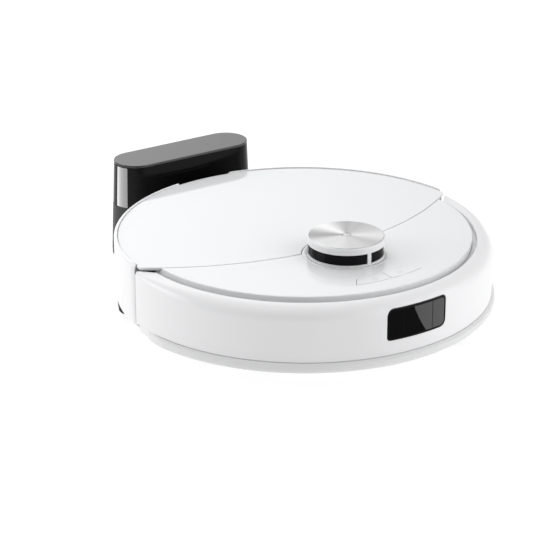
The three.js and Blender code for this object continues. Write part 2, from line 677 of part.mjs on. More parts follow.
// The outline raised from z0 to z1, following the dock's slope, with its wall set in by inset.
function dockLoft(z0, z1, inset) {
  const options = { depth: z1 - z0, bevelEnabled: false, curveSegments: 10 };
  const geometry = new THREE.ExtrudeGeometry(dockOutline(1), options);
  const at = geometry.getAttribute("position");
  for (let i = 0; i < at.count; i++) {
    const z = at.getZ(i) + z0;
    const centre = Math.sign(at.getX(i)) * DOCK_SPINE;
    const r = dockRadius(z) - inset;
    at.setXYZ(i, centre + (at.getX(i) - centre) * r, at.getY(i) * r, z);
  }
  return solid(geometry);
}

function dockShell() {
  const walls = cut(dockLoft(4.4, DOCK_SPLIT_Z, 0), dockLoft(0, 100, WALL));
  const front = -dockRadius(30);
  const nose = cut(
    block(-42, 42, front - 5.5, front + 3, 20, 45),
    block(-39.5, 39.5, front - 3, front + 10, 22.5, 42.5),
  );
  const slots = [-1, 1].map((side) => {
    const x = side * CONTACT_X;
    return block(x - 7, x + 7, front - 10, front + 6, CONTACT_Z[0] - 0.4, CONTACT_Z[1] + 0.4);
  });
  const inletHole = block(-13.4, 13.4, 15, 40, 7.6, 24.4);
  return cut(join(walls, nose), ...slots, inletHole);
}

const dockWindow = () => cut(dockLoft(DOCK_SPLIT_Z + 0.2, 94.2, 0.15), dockLoft(0, 100, WALL));
const dockTop = () => dockLoft(94.4, DOCK_Z, 0.1);
const dockBase = () => dockLoft(0, 4.2, 0.3);
const dockInlet = () => {
  const body = block(-13, 13, 8, 24.6, 8, 24);
  return cut(body, block(-10, 10, 15, 40, 11, 21));
};
const dockBoard = () => block(-46, 46, -4, -2.4, 8, 88);

// A charging contact: a sprung blade that leans out of the dock towards the robot.
function dockContact(side) {
  const x = side * CONTACT_X;
  const tip = BODY_R - DOCK_Y - 0.9;
  return block(x - 6.4, x + 6.4, tip, -12, CONTACT_Z[0], CONTACT_Z[1]);
}

// ---- assembly -----------------------------------------------------------------------------

piece(robot, "base_pan", basePan(), WHITE_SATIN);
["front_right", "front_left", "rear_right", "rear_left"].forEach((place, i) =>
  piece(robot, "cliff_sensor_" + place, cliffSensor(CLIFF_SENSORS[i]), SMOKED),
);
piece(robot, "rear_shell", rearShell(), WHITE_SATIN);
piece(robot, "charge_contact_right", chargeContact(-1), STEEL);
piece(robot, "charge_contact_left", chargeContact(1), STEEL);
piece(robot, "recharge_window", rearPlate(-22, 22, [45, 62], 172.3, BODY_R - 0.1), BLACK_GLOSS);
piece(robot, "top_deck", topDeck(), WHITE_GLOSS);
piece(robot, "dock_button", button(-1), WHITE_GLOSS);
piece(robot, "power_button", button(1), WHITE_GLOSS);
piece(robot, "inner_deck", innerDeck(), WHITE_SATIN);
piece(robot, "lid", lid(), WHITE_GLOSS);

piece(robot, "bumper_shell", bumperShell(), WHITE_SATIN);
piece(robot, "bumper_skirt", bumperSkirt(), SOFT_WHITE);
piece(robot, "sensor_window", sensorWindow(), BLACK_GLOSS);
piece(robot, "obstacle_sensor", obstacleSensor(), BLACK_MATT);

piece(robot, "turret_ring", turretRing(), STEEL);
piece(robot, "turret_cap", turretCap(), WHITE_SATIN);
piece(robot, "turret_disc", turretDisc(), ALUMINIUM);
piece(robot, "turret_window", turretWindow(), SMOKED);
piece(robot, "lidar_base", lidarBase(), DARK);
piece(robot, "lidar_rotor", lidarRotor(), DARK);

for (const [name, side] of [["left", 1], ["right", -1]]) {
  piece(robot, name + "_wheel_well", onSide(side, wheelWell()), DARK);
  piece(robot, name + "_wheel_arm", onSide(side, wheelArm()), BLACK_MATT);
  piece(robot, name + "_wheel_hub", onSide(side, wheelHub()), GREY);
  piece(robot, name + "_tyre", onSide(side, tyre()), RUBBER);
}

piece(robot, "caster_socket", casterSocket(), DARK);
piece(robot, "caster_fork", casterFork(), BLACK_MATT);
piece(robot, "caster_wheel", casterWheel(), SOFT_WHITE);

piece(robot, "brush_head", brushHead(), DARK);
piece(robot, "brush_cover", brushCover(), BLACK_MATT);
piece(robot, "main_brush", mainBrush(), BRISTLE);
piece(robot, "side_brush_motor", sideBrushMotor(), GREY);
piece(robot, "side_brush", sideBrush(), BLACK_MATT);
piece(robot, "mop_bracket", mopBracket(), BLACK_MATT);
piece(robot, "mop_pad", mopPad(), CLOTH);

piece(robot, "bin_bay", binBay(), DARK);
piece(robot, "bin_tub", binTub(), SMOKED_BIN);
piece(robot, "bin_cover", binCover(), BLACK_MATT);
piece(robot, "bin_filter", binFilter(), FILTER);
piece(robot, "blower_housing", blowerHousing(), BLACK_MATT);
piece(robot, "fan_motor", fanMotor(), STEEL);
piece(robot, "fan_impeller", fanImpeller(), GREY);
piece(robot, "battery_pack", batteryPack(), CELL);
piece(robot, "main_board", mainBoard(), BOARD);

piece(dock, "dock_base", dockBase(), BLACK_MATT);
piece(dock, "dock_shell", dockShell(), BLACK_MATT);
piece(dock, "dock_window", dockWindow(), BLACK_GLOSS);
piece(dock, "dock_top", dockTop(), BLACK_GLOSS);
piece(dock, "dock_board", dockBoard(), BOARD);
piece(dock, "dock_inlet", dockInlet(), BLACK_MATT);
piece(dock, "dock_contact_right", dockContact(-1), GOLD);
piece(dock, "dock_contact_left", dockContact(1), GOLD);

export default vacuum;
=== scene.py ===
"""A white robot vacuum standing at its black charging dock, on a pale floor in a bright studio.

Lengths are in metres in the row frame: +Z up, the robot faces -Y, the dock stands behind it at +Y.
Angles round the robot are in degrees from straight ahead (-Y), positive towards +X.
"""

import math
import random

import bmesh
import bpy
from mathutils import Matrix, Vector


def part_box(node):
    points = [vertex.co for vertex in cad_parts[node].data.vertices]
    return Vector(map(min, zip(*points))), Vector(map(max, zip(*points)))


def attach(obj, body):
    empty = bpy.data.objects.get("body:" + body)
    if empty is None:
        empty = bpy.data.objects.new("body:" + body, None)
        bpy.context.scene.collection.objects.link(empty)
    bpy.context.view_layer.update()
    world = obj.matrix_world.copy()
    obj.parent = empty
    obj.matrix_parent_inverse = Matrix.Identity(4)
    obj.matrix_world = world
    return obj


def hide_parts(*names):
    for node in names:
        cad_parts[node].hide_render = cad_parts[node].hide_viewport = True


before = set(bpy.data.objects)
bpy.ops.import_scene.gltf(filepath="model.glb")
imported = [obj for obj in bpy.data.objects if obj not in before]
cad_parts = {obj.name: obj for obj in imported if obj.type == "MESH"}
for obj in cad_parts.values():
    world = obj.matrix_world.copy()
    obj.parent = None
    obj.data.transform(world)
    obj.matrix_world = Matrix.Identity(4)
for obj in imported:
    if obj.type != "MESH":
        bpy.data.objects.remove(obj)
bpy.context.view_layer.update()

MM = 0.001
scene = bpy.context.scene

# ---- places taken from the CAD parts ------------------------------------------------------


def middle(node):
    """The middle of a CAD node's box."""
    low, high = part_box(node)
    return (low + high) / 2


BUMPER_LOW, BUMPER_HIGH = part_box("bumper_shell")
BUMPER_R = (BUMPER_HIGH.x - BUMPER_LOW.x) / 2
ROBOT = Vector((0, BUMPER_LOW.y + BUMPER_R))
TURRET = middle("turret_disc").to_2d()
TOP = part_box("top_deck")[1].z
LID_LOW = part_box("lid")[0].z
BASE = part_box("base_pan")[0].z
DOCK = middle("dock_top").to_2d()
DOCK_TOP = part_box("dock_top")[1].z
WHEEL_R = middle("left_tyre").z
BRUSH = middle("main_brush")
SPINNER = middle("side_brush_motor").to_2d()
PAD_Z = middle("mop_pad").z

# ---- named sizes --------------------------------------------------------------------------
# What isn't in MM is a count or an angle in degrees, except the cloth's pressure.

GAP = 0.3 * MM
WELD = 0.001 * MM
CREASE = 35
BEVEL_FROM = 40
EDGE_STEPS = 3
CUT_DEPTH = 30 * MM
BODY_R = 174 * MM
SEAM_ANGLE = 93.75
SEAM_HALF_GAP = 0.9
LID_R = 170.5 * MM
DECK_R = 155.3 * MM
INNER_DECK_R = 155 * MM
SEAM_ARC_R = 290 * MM
SEAM_ARC_Y = 241.5 * MM
LID_SEAM = 0.4 * MM
TURRET_RING_R = 39.3 * MM
POST_ANGLES = (0, 120, 240)
POST_HALF = 3.1
BUTTON_BACK = -121.5 * MM
BUTTON_FRONT_R = 136.5 * MM
BUTTON_HALF = 28 * MM
BUTTON_SPREAD = 15
SLOTS = 9
SLOT_START = 116
SLOT_STEP = 3.25
TREAD_LUGS = 26
VANES = 6
BRUSH_HALF = 76 * MM
SPINNER_ARM = 54 * MM
WINDOW_CORNER = 6.5 * MM
WINDOW_BORDER = 1.7 * MM
BIN_WALL = 2 * MM
FILTER_EDGE = 2.5 * MM
DOCK_WALL = 2.5 * MM
CLOTH_PRESSURE = 4.0
CLOTH_FRAMES = 20
# Degrees round the turret's disc from +X, and the metal's tone there: a painted sheen, light and dark
# sectors of reflection painted into its colour.
PAINTED_DISC_SHEEN = (
    (-180, 0.70), (-147, 0.72), (-111, 0.50), (-77, 0.42), (-34, 0.74), (2, 0.60), (38, 0.50),
    (54, 0.38), (99, 0.68), (146, 0.36), (180, 0.70),
)

# ---- mesh helpers -------------------------------------------------------------------------


def add_mesh(name, mesh):
    obj = bpy.data.objects.new(name, mesh)
    scene.collection.objects.link(obj)
    return obj


def new_object(name, vertices, faces):
    mesh = bpy.data.meshes.new(name)
    mesh.from_pydata([tuple(v) for v in vertices], [], faces)
    return add_mesh(name, mesh)


def clean(obj):
    """Welds the seams and turns every face outwards."""
    bm = bmesh.new()
    bm.from_mesh(obj.data)
    bmesh.ops.remove_doubles(bm, verts=bm.verts, dist=WELD)
    bmesh.ops.dissolve_degenerate(bm, edges=bm.edges, dist=WELD / 100)
    bmesh.ops.recalc_face_normals(bm, faces=bm.faces)
    bm.to_mesh(obj.data)
    bm.free()
    return obj


def evaluated(obj):
    """The object with its modifiers made part of its mesh."""
    graph = bpy.context.evaluated_depsgraph_get()
    mesh = bpy.data.meshes.new_from_object(obj.evaluated_get(graph))
    obj.modifiers.clear()
    old, obj.data = obj.data, mesh
    mesh.name = obj.name
    bpy.data.meshes.remove(old)
    return obj


def smooth(obj, angle=CREASE):
    """Smooth shading that keeps creases sharper than an angle, and flat faces flat."""
    obj.data.shade_smooth()
    obj.data.set_sharp_from_angle(angle=math.radians(angle))
    modifier = obj.modifiers.new("flat faces", "WEIGHTED_NORMAL")
    modifier.keep_sharp = True
    return obj


def soften(obj, width):
    """Rounds the sharp edges of a finished shape."""
    modifier = obj.modifiers.new("edges", "BEVEL")
    modifier.width = width
    modifier.segments = 2
    modifier.angle_limit = math.radians(BEVEL_FROM)
    modifier.harden_normals = False
    return evaluated(obj)


def boolean(obj, operation, *others):
    """Adds other closed meshes to a closed mesh, cuts them away or keeps what they share."""
    for other in others:
        modifier = obj.modifiers.new(operation, "BOOLEAN")
        modifier.operation = operation
        modifier.solver = "EXACT"
        modifier.object = other
    evaluated(obj)
    for other in others:
        bpy.data.objects.remove(other)
    return obj


def cut(obj, *tools):
    return boolean(obj, "DIFFERENCE", *tools)


def arc(centre, radius, start, end, count):
    """Points on an arc, from start to end in radians, both ends included."""
    points = []
    for i in range(count + 1):
        angle = start + (end - start) * i / count
        points.append((centre[0] + radius * math.cos(angle), centre[1] + radius * math.sin(angle)))
    return points


def circle(centre, radius, count=48):
    return arc(centre, radius, 0, 2 * math.pi, count)[:-1]


def rounded(corners, steps=5):
    """A closed outline through (x, y, radius) corners, with each corner rounded."""
    points = []
    for i, (x, y, radius) in enumerate(corners):
        corner = Vector((x, y))
        if radius == 0:
            points.append((x, y))
            continue
        back = (Vector(corners[i - 1][:2]) - corner).normalized()
        on = (Vector(corners[(i + 1) % len(corners)][:2]) - corner).normalized()
        half = back.angle(on) / 2
        centre = corner + (back + on).normalized() * radius / math.sin(half)
        first = corner + back * radius / math.tan(half) - centre
        last = corner + on * radius / math.tan(half) - centre
        start = math.atan2(first.y, first.x)
        turn = math.remainder(math.atan2(last.y, last.x) - start, 2 * math.pi)
        points += arc(centre, radius, start, start + turn, steps)
    return points


def oblong(x0, x1, y0, y1, radius, steps=6):
    """A rectangle with round corners."""
    corners = [(x0, y0, radius), (x1, y0, radius), (x1, y1, radius), (x0, y1, radius)]
    return rounded(corners, steps)


def mm(points):
    """Points or rounded corners, from millimetres to metres."""
    return [tuple(c * MM for c in p) for p in points]


def about(points, centre=ROBOT):
    """Points moved from a centre's own coordinates to the row frame."""
    return [(x + centre.x, y + centre.y) for x, y in points]


def skin(name, rings, loop=False):
    """Faces between rings of points: a closed loop of rings, or a body with two flat ends."""
    n = len(rings[0])
    count = len(rings)
    vertices = [point for ring in rings for point in ring]
    faces = []
    for i in range(count if loop else count - 1):
        a, b = i * n, (i + 1) % count * n
        faces += [(a + j, a + (j + 1) % n, b + (j + 1) % n, b + j) for j in range(n)]
    if not loop:
        faces += [tuple(range(n)), tuple(range((count - 1) * n, count * n))]
    return clean(new_object(name, vertices, faces))


def lathe(name, profile, centre=ROBOT, start=0, end=360, step=1.5):
    """Turns a closed (radius, z) outline about an upright axis. It may be a function of the angle."""
    whole = end - start >= 360
    count = max(3, round((end - start) / step))
    rings = []
    for i in range(count if whole else count + 1):
        degrees = start + (end - start) * i / count
        angle = math.radians(degrees)
        across, ahead = math.sin(angle), -math.cos(angle)
        outline = profile(degrees) if callable(profile) else profile
        rings.append([(centre.x + r * across, centre.y + r * ahead, z) for r, z in outline])
    return skin(name, rings, whole)


def prism(name, outline, low, high, axis="z"):
    """A flat outline pushed from low to high. Its points are (y, z), (x, z) or (x, y)."""
    place = {
        "x": lambda u, v, w: (w, u, v),
        "y": lambda u, v, w: (u, w, v),
        "z": lambda u, v, w: (u, v, w),
    }[axis]
    return skin(name, [[place(u, v, w) for u, v in outline] for w in (low, high)])


def slab(name, low, high, edge=0.0, steps=EDGE_STEPS):
    """A block between two corners, with its edges rounded."""
    corners = [(low[0], low[1]), (high[0], low[1]), (high[0], high[1]), (low[0], high[1])]
    obj = prism(name, corners, low[2], high[2])
    if edge:
        bm = bmesh.new()
        bm.from_mesh(obj.data)
        bmesh.ops.bevel(bm, geom=bm.edges, offset=edge, segments=steps, profile=0.5, affect="EDGES")
        bm.to_mesh(obj.data)
        bm.free()
    return obj


def from_curve(name, curve, lines):
    """A mesh made from a curve through closed lines of points. The curve isn't kept."""
    for line in lines:
        spline = curve.splines.new("POLY")
        spline.points.add(len(line) - 1)
        for place, point in zip(spline.points, line):
            place.co = (*point, 1)
        spline.use_cyclic_u = True
    holder = bpy.data.objects.new(name, curve)
    scene.collection.objects.link(holder)
    graph = bpy.context.evaluated_depsgraph_get()
    mesh = bpy.data.meshes.new_from_object(holder.evaluated_get(graph))
    bpy.data.objects.remove(holder)
    bpy.data.curves.remove(curve)
    return add_mesh(name, mesh)


def plate(name, outlines, low, high, edge):
    """A plate with rounded edges: the first outline is its rim and the others are holes."""
    curve = bpy.data.curves.new(name, "CURVE")
    curve.dimensions = "2D"
    curve.fill_mode = "BOTH"
    curve.extrude = (high - low) / 2 - edge
    curve.bevel_depth = edge
    curve.bevel_resolution = EDGE_STEPS
    curve.offset = -edge
    obj = from_curve(name, curve, [[(x, y, 0) for x, y in outline] for outline in outlines])
    obj.data.transform(Matrix.Translation((0, 0, (low + high) / 2)))
    return clean(obj)


def round_cord(name, path, radius):
    """A closed piping of round section along a path."""
    curve = bpy.data.curves.new(name, "CURVE")
    curve.dimensions = "3D"
    curve.bevel_depth = radius
    curve.bevel_resolution = EDGE_STEPS
    obj = from_curve(name, curve, [path])
    obj.data.shade_smooth()
    return clean(obj)


def bar(name, radius, low, high, y, z, sides=48):
    """A round bar along X."""
    return prism(name, circle((y, z), radius, sides), low, high, "x")


def joined(name, *objects):
    """Several meshes as one object."""
    bm = bmesh.new()
    for obj in objects:
        bm.from_mesh(obj.data)
        bpy.data.objects.remove(obj)
    mesh = bpy.data.meshes.new(name)
    bm.to_mesh(mesh)
    bm.free()
    return add_mesh(name, mesh)


def turned(obj, angle, centre):
    """The object turned about an upright axis through a point, in degrees."""
    place = Matrix.Translation((centre[0], centre[1], 0))
    obj.data.transform(place @ Matrix.Rotation(math.radians(angle), 4, "Z") @ place.inverted())
    return obj


def bristles(name, pairs, radius):
    """Fine tapered bristles, each from a root to a tip."""
    corners = [(3, 2, 1, 0), (4, 5, 6, 7)]
    corners += [(j, (j + 1) % 4, 4 + (j + 1) % 4, 4 + j) for j in range(4)]
    vertices, faces = [], []
    for root, tip in pairs:
        across = (tip - root).orthogonal().normalized()
        other = (tip - root).normalized().cross(across)
        faces += [tuple(len(vertices) + k for k in face) for face in corners]
        for end, r in ((root, radius), (tip, radius * 0.5)):
            vertices += [end + side * r for side in (across, other, -across, -other)]
    return new_object(name, vertices, faces)


# ---- materials ----------------------------------------------------------------------------


def add_node(tree, kind, values=None, **settings):
    """A new node, with its settings and the values of its inputs."""
    node = tree.nodes.new(kind)
    for setting, value in settings.items():
        setattr(node, setting, value)
    for socket, value in (values or {}).items():
        node.inputs[socket].default_value = value
    return node


def surface(name, colour, roughness, grain=900, relief=0.02, mottle=0.03, spread=0.05, **sockets):
    """A moulded or machined surface: fine grain in its relief, slow drift in tone and gloss."""
    mat = bpy.data.materials.new(name)
    mat.use_nodes = True
    tree = mat.node_tree
    link = tree.links.new
    shader = tree.nodes["Principled BSDF"]
    place = add_node(tree, "ShaderNodeTexCoord").outputs["Object"]

    drift = add_node(tree, "ShaderNodeTexNoise", {"Scale": 14, "Detail": 3})
    darker = [c * (1 - mottle) for c in colour]
    lighter = [min(1, c * (1 + mottle)) for c in colour]
    tone = add_node(tree, "ShaderNodeMix", {"A": (*darker, 1), "B": (*lighter, 1)}, data_type="RGBA")
    link(place, drift.inputs["Vector"])
    link(drift.outputs["Fac"], tone.inputs["Factor"])
    link(tone.outputs["Result"], shader.inputs["Base Color"])

    fine = add_node(tree, "ShaderNodeTexNoise", {"Scale": grain, "Detail": 2})
    gloss = add_node(tree, "ShaderNodeMapRange", {
        "To Min": max(0, roughness * (1 - spread)),
        "To Max": min(1, roughness * (1 + spread)),
    })
    link(place, fine.inputs["Vector"])
    link(fine.outputs["Fac"], gloss.inputs["Value"])
    link(gloss.outputs["Result"], shader.inputs["Roughness"])

    bump = add_node(tree, "ShaderNodeBump", {"Strength": relief, "Distance": 0.1 * MM})
    link(fine.outputs["Fac"], bump.inputs["Height"])
    link(bump.outputs["Normal"], shader.inputs["Normal"])
    for socket, value in sockets.items():
        shader.inputs[socket.replace("_", " ")].default_value = value
    return mat


def striped(mat, dark, scale):
    """Adds woven stripes along X to a surface's colour."""
    tree = mat.node_tree
    link = tree.links.new
    shader = tree.nodes["Principled BSDF"]
    base = shader.inputs["Base Color"].links[0].from_socket
    wave = add_node(tree, "ShaderNodeTexWave", {"Scale": scale, "Distortion": 0.4}, bands_direction="X")
    step = add_node(tree, "ShaderNodeMapRange", {"From Min": 0.5, "From Max": 0.62})
    mix = add_node(tree, "ShaderNodeMix", {"B": (*dark, 1)}, data_type="RGBA")
    link(tree.nodes["Texture Coordinate"].outputs["Object"], wave.inputs["Vector"])
    link(wave.outputs["Fac"], step.inputs["Value"])
    link(step.outputs["Result"], mix.inputs["Factor"])
    link(base, mix.inputs["A"])
    link(mix.outputs["Result"], shader.inputs["Base Color"])
    return mat


def brushed(mat, centre):
    """Turns a metal into one spun about an upright axis: fine rings, and a painted sheen, sectors of
    reflection painted into its colour by angle.
    """
    tree = mat.node_tree
    link = tree.links.new
    shader = tree.nodes["Principled BSDF"]
    offset = add_node(tree, "ShaderNodeVectorMath", {1: centre}, operation="SUBTRACT")
    distance = add_node(tree, "ShaderNodeVectorMath", operation="LENGTH")
    rings = add_node(tree, "ShaderNodeTexNoise", {"Scale": 2600, "Detail": 3}, noise_dimensions="1D")
    link(tree.nodes["Texture Coordinate"].outputs["Object"], offset.inputs[0])
    link(offset.outputs["Vector"], distance.inputs[0])
    link(distance.outputs["Value"], rings.inputs["W"])
    link(rings.outputs["Fac"], tree.nodes["Map Range"].inputs["Value"])
    link(rings.outputs["Fac"], tree.nodes["Bump"].inputs["Height"])

    # Painted sheen: the disc's colour is made lighter and darker by angle, standing in for reflections.
    around = add_node(tree, "ShaderNodeSeparateXYZ")
    angle = add_node(tree, "ShaderNodeMath", operation="ARCTAN2")
    turn = add_node(tree, "ShaderNodeMapRange", {"From Min": -math.pi, "From Max": math.pi})
    sheen = add_node(tree, "ShaderNodeValToRGB")
    sheen.color_ramp.interpolation = "EASE"
    stops = sheen.color_ramp.elements
    while len(stops) < len(PAINTED_DISC_SHEEN):
        stops.new(0.5)
    for stop, (degrees, tone) in zip(stops, PAINTED_DISC_SHEEN):
        stop.position = (degrees + 180) / 360
        stop.color = (tone, tone, tone * 1.005, 1)
    tangent = add_node(tree, "ShaderNodeTangent", direction_type="RADIAL", axis="Z")
    link(offset.outputs["Vector"], around.inputs["Vector"])
    link(around.outputs["Y"], angle.inputs[0])
    link(around.outputs["X"], angle.inputs[1])
    link(angle.outputs["Value"], turn.inputs["Value"])
    link(turn.outputs["Result"], sheen.inputs["Fac"])
    link(sheen.outputs["Color"], shader.inputs["Base Color"])
    link(tangent.outputs["Tangent"], shader.inputs["Tangent"])
    return mat


WHITE_GLOSS = surface("white gloss", (0.74, 0.745, 0.755), 0.05, relief=0.002, mottle=0.004, IOR=1.5)
WHITE_SATIN = surface("white satin", (0.76, 0.76, 0.77), 0.33, relief=0.01, mottle=0.006)
SOFT_WHITE = surface("soft white", (0.68, 0.68, 0.685), 0.55, relief=0.05, mottle=0.01)
INK = surface("icon ink", (0.45, 0.455, 0.46), 0.5)
BLACK_GLOSS = surface("black gloss", (0.004, 0.004, 0.0045), 0.05, relief=0.002, mottle=0.05)
WINDOW_GLOSS = surface("window gloss", (0.006, 0.006, 0.0065), 0.04, relief=0.001, mottle=0.05, IOR=1.72)
DOCK_GLOSS = surface("dock gloss", (0.002, 0.002, 0.0022), 0.05, relief=0.002, mottle=0.05,
                     Specular_IOR_Level=0.1)
DOCK_PLATE = surface("dock plate", (0.02, 0.02, 0.021), 0.12, relief=0.002, mottle=0.05)
SMOKED = surface("smoked glass", (0.004, 0.004, 0.005), 0.04, relief=0.0, mottle=0.02,
                 Transmission_Weight=0.1, Specular_IOR_Level=0.04)
BLACK_MATT = surface("black matt", (0.014, 0.0145, 0.016), 0.45, grain=1600, relief=0.12, mottle=0.08)
DARK_PLASTIC = surface("dark plastic", (0.03, 0.031, 0.034), 0.5, grain=1500, relief=0.1, mottle=0.06)
GREY_PLASTIC = surface("grey plastic", (0.22, 0.225, 0.235), 0.5, grain=1500, relief=0.08)
# Painted shade: a grey that stands for white satin in the shade of narrow gaps, on the lid's stops and the
# seam strips.
PAINTED_SEAM_SHADE = surface("painted seam shade", (0.36, 0.36, 0.37), 0.6, grain=1500, relief=0.05)
STEEL = surface("steel", (0.55, 0.56, 0.57), 0.28, grain=2500, relief=0.03, Metallic=1.0)
BRUSHED = brushed(
    surface("brushed disc", (0.52, 0.52, 0.525), 0.3, relief=0.05, spread=0.25, Metallic=1.0,
            Anisotropic=0.85),
    (*TURRET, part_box("turret_disc")[1].z),
)
TRIM = surface("turret trim", (0.74, 0.745, 0.75), 0.45, grain=2500, relief=0.02, Metallic=0.25)
WINDOW_INK = surface("window ink", (0.004, 0.004, 0.0045), 0.4, relief=0.02, Specular_IOR_Level=0.1)
GOLD = surface("gold plate", (0.80, 0.58, 0.28), 0.25, relief=0.02, Metallic=1.0)
RUBBER = surface("tyre rubber", (0.018, 0.018, 0.019), 0.75, grain=1800, relief=0.25, mottle=0.15)
BRUSH_RUBBER = surface("brush rubber", (0.05, 0.052, 0.058), 0.55, grain=1200, relief=0.1, mottle=0.1)
BRISTLE = surface("bristle", (0.09, 0.095, 0.105), 0.4, grain=600, relief=0.05, mottle=0.2)
BIN_SMOKE = surface("smoked bin", (0.30, 0.31, 0.33), 0.08, relief=0.005, Transmission_Weight=0.7)
BOARD_GREEN = surface("circuit board", (0.015, 0.11, 0.05), 0.35, grain=500, relief=0.1, mottle=0.25)
CHIP = surface("chip", (0.02, 0.02, 0.022), 0.4, grain=900, relief=0.1)
BATTERY_BLUE = surface("battery wrap", (0.03, 0.10, 0.30), 0.3, grain=300, relief=0.1, mottle=0.08)
FILTER_PAPER = surface("filter paper", (0.62, 0.60, 0.52), 0.9, grain=700, relief=0.4, mottle=0.1)
MOP_CLOTH = striped(
    surface("mop cloth", (0.50, 0.55, 0.62), 0.95, grain=420, relief=1.0, mottle=0.12, Sheen_Weight=0.4),
    (0.16, 0.21, 0.30), 22,
)
MOP_HEM = surface("mop hem", (0.20, 0.24, 0.32), 0.9, grain=1400, relief=0.8, mottle=0.15,
                  Sheen_Weight=0.3)


def dress(obj, material, body, slot, *nodes):
    """Gives a piece its material and its body, and hides the CAD nodes that it stands for. Its slot is not
    used.
    """
    obj.data.materials.clear()
    obj.data.materials.append(material)
    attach(obj, body)
    if nodes:
        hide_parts(*nodes)
    return obj


# ---- top surfaces -------------------------------------------------------------------------


def seam_crossing(radius, seam_r, centre_y):
    """The point on the +X side where the curved seam crosses a circle on the robot's middle line."""
    gap = SEAM_ARC_Y - centre_y
    up = (seam_r**2 - radius**2 + gap**2) / (2 * gap)
    return Vector((math.sqrt(seam_r**2 - up**2), SEAM_ARC_Y - up))


def seam_arc(seam_r, x_from, x_to, count=60):
    """Points along the curved seam, in the robot's own coordinates."""
    start = -math.acos(x_from / seam_r)
    end = -math.acos(x_to / seam_r)
    return arc((0, SEAM_ARC_Y), seam_r, start, end, count)


def deck_outline(radius, seam_r, notch_r, behind):
    """The outline of a top panel behind or in front of the seam, with a notch round the turret."""
    turret_y = TURRET.y - ROBOT.y
    corner = seam_crossing(radius, seam_r, 0)
    notch = seam_crossing(notch_r, seam_r, turret_y)
    start = math.atan2(corner.y, corner.x)
    side = math.atan2(notch.y - turret_y, notch.x)
    outline = arc((0, 0), radius, start, math.pi - start if behind else -math.pi - start, 240)
    outline += seam_arc(seam_r, -corner.x, -notch.x)[1:]
    outline += arc((0, turret_y), notch_r, math.pi - side, side, 48)[1:-1]
    outline += seam_arc(seam_r, notch.x, corner.x)[:-1]
    return about(outline)


def make_lid():
    """The lid, with a small stop under each tip that rests over the bumper."""
    outline = deck_outline(LID_R, SEAM_ARC_R - LID_SEAM, TURRET_RING_R + 1 * MM, True)
    obj = smooth(plate("lid_panel", [outline], LID_LOW, TOP, 0.5 * MM))
    dress(obj, WHITE_GLOSS, "lid", "white_gloss", "lid")
    stops = []
    for side in (-1, 1):
        inner, outer = side * 156 * MM, side * 169.6 * MM
        outline = seam_arc(SEAM_ARC_R - 1 * MM, inner, outer, 6)
        outline += seam_arc(SEAM_ARC_R - 2 * MM, outer, inner, 6)
        stops.append(prism("stop", about(outline), LID_LOW - 0.6 * MM, LID_LOW + 0.2 * MM))
    # The stops are grey as painted shade in the slit under the lid's tips.
    dress(joined("lid_stops", *stops), PAINTED_SEAM_SHADE, "lid", "white_satin")


make_lid()


def button_outline(inset):
    """Both buttons together: straight behind and at the sides, an arc in front."""
    back = BUTTON_BACK - inset
    front_r = BUTTON_FRONT_R - inset
    spread = math.radians(BUTTON_SPREAD) - inset / front_r
    corners = [(BUTTON_HALF - inset, back), (inset - BUTTON_HALF, back)]
    corners += arc((0, 0), front_r, -math.pi / 2 - spread, -math.pi / 2 + spread, 24)
    return corners


def make_deck():
    """The front deck: a plate on a skirt, with a short low heel past each end of the skirt."""
    seam_r = SEAM_ARC_R + LID_SEAM
    outline = deck_outline(DECK_R, seam_r, TURRET_RING_R + 0.5 * MM, False)
    hole = circle(TURRET, 36.5 * MM, 96)
    edge = 0.8 * MM
    deck = plate("deck", [outline, hole, about(button_outline(0))], TOP - 3 * MM, TOP, edge)
    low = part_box("top_deck")[0].z
    inner = 152.7 * MM
    corner = seam_crossing(DECK_R, seam_r, 0)
    end = math.degrees(math.atan2(corner.y, corner.x)) + 90
    heel = 3.4
    pieces = [deck]
    for start, stop, high in (
        (-end, end, TOP - edge), (-end - heel, -end, LID_LOW - GAP), (end, end + heel, LID_LOW - GAP),
    ):
        profile = [(inner, low), (DECK_R, low), (DECK_R, high), (inner, high)]
        pieces.append(lathe("skirt", profile, start=start, end=stop))
    obj = smooth(joined("front_deck", *pieces))
    dress(obj, WHITE_GLOSS, "chassis", "white_gloss", "top_deck")


make_deck()


def make_inner_deck():
    """The panel under the lid: open over the bin, with four grooves beside it."""
    low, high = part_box("inner_deck")
    outline = deck_outline(INNER_DECK_R, SEAM_ARC_R - 1 * MM, 39 * MM, True)
    deck = plate("inner_panel", [outline], low.z, high.z, 0.4 * MM)
    bay_low, bay_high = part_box("bin_bay")
    side = 1.5 * MM
    left, right, front = bay_low.x + side, bay_high.x - side, bay_low.y + side
    bay = [(left, front), (right, front), (right, BODY_R), (left, BODY_R)]
    cutters = [prism("bay", bay, low.z - CUT_DEPTH, high.z + CUT_DEPTH)]
    for i in range(4):
        x = (78 + 14 * i) * MM
        start = ROBOT.y + 8 * MM
        end = ROBOT.y + math.sqrt(INNER_DECK_R**2 - x**2) - 22 * MM
        groove = oblong(x - 2 * MM, x + 2 * MM, start, end, 1.9 * MM)
        cutters.append(prism("groove", groove, high.z - 1 * MM, high.z + CUT_DEPTH))
    cut(deck, *cutters)
    dress(smooth(deck), WHITE_SATIN, "chassis", "white_satin", "inner_deck")


make_inner_deck()


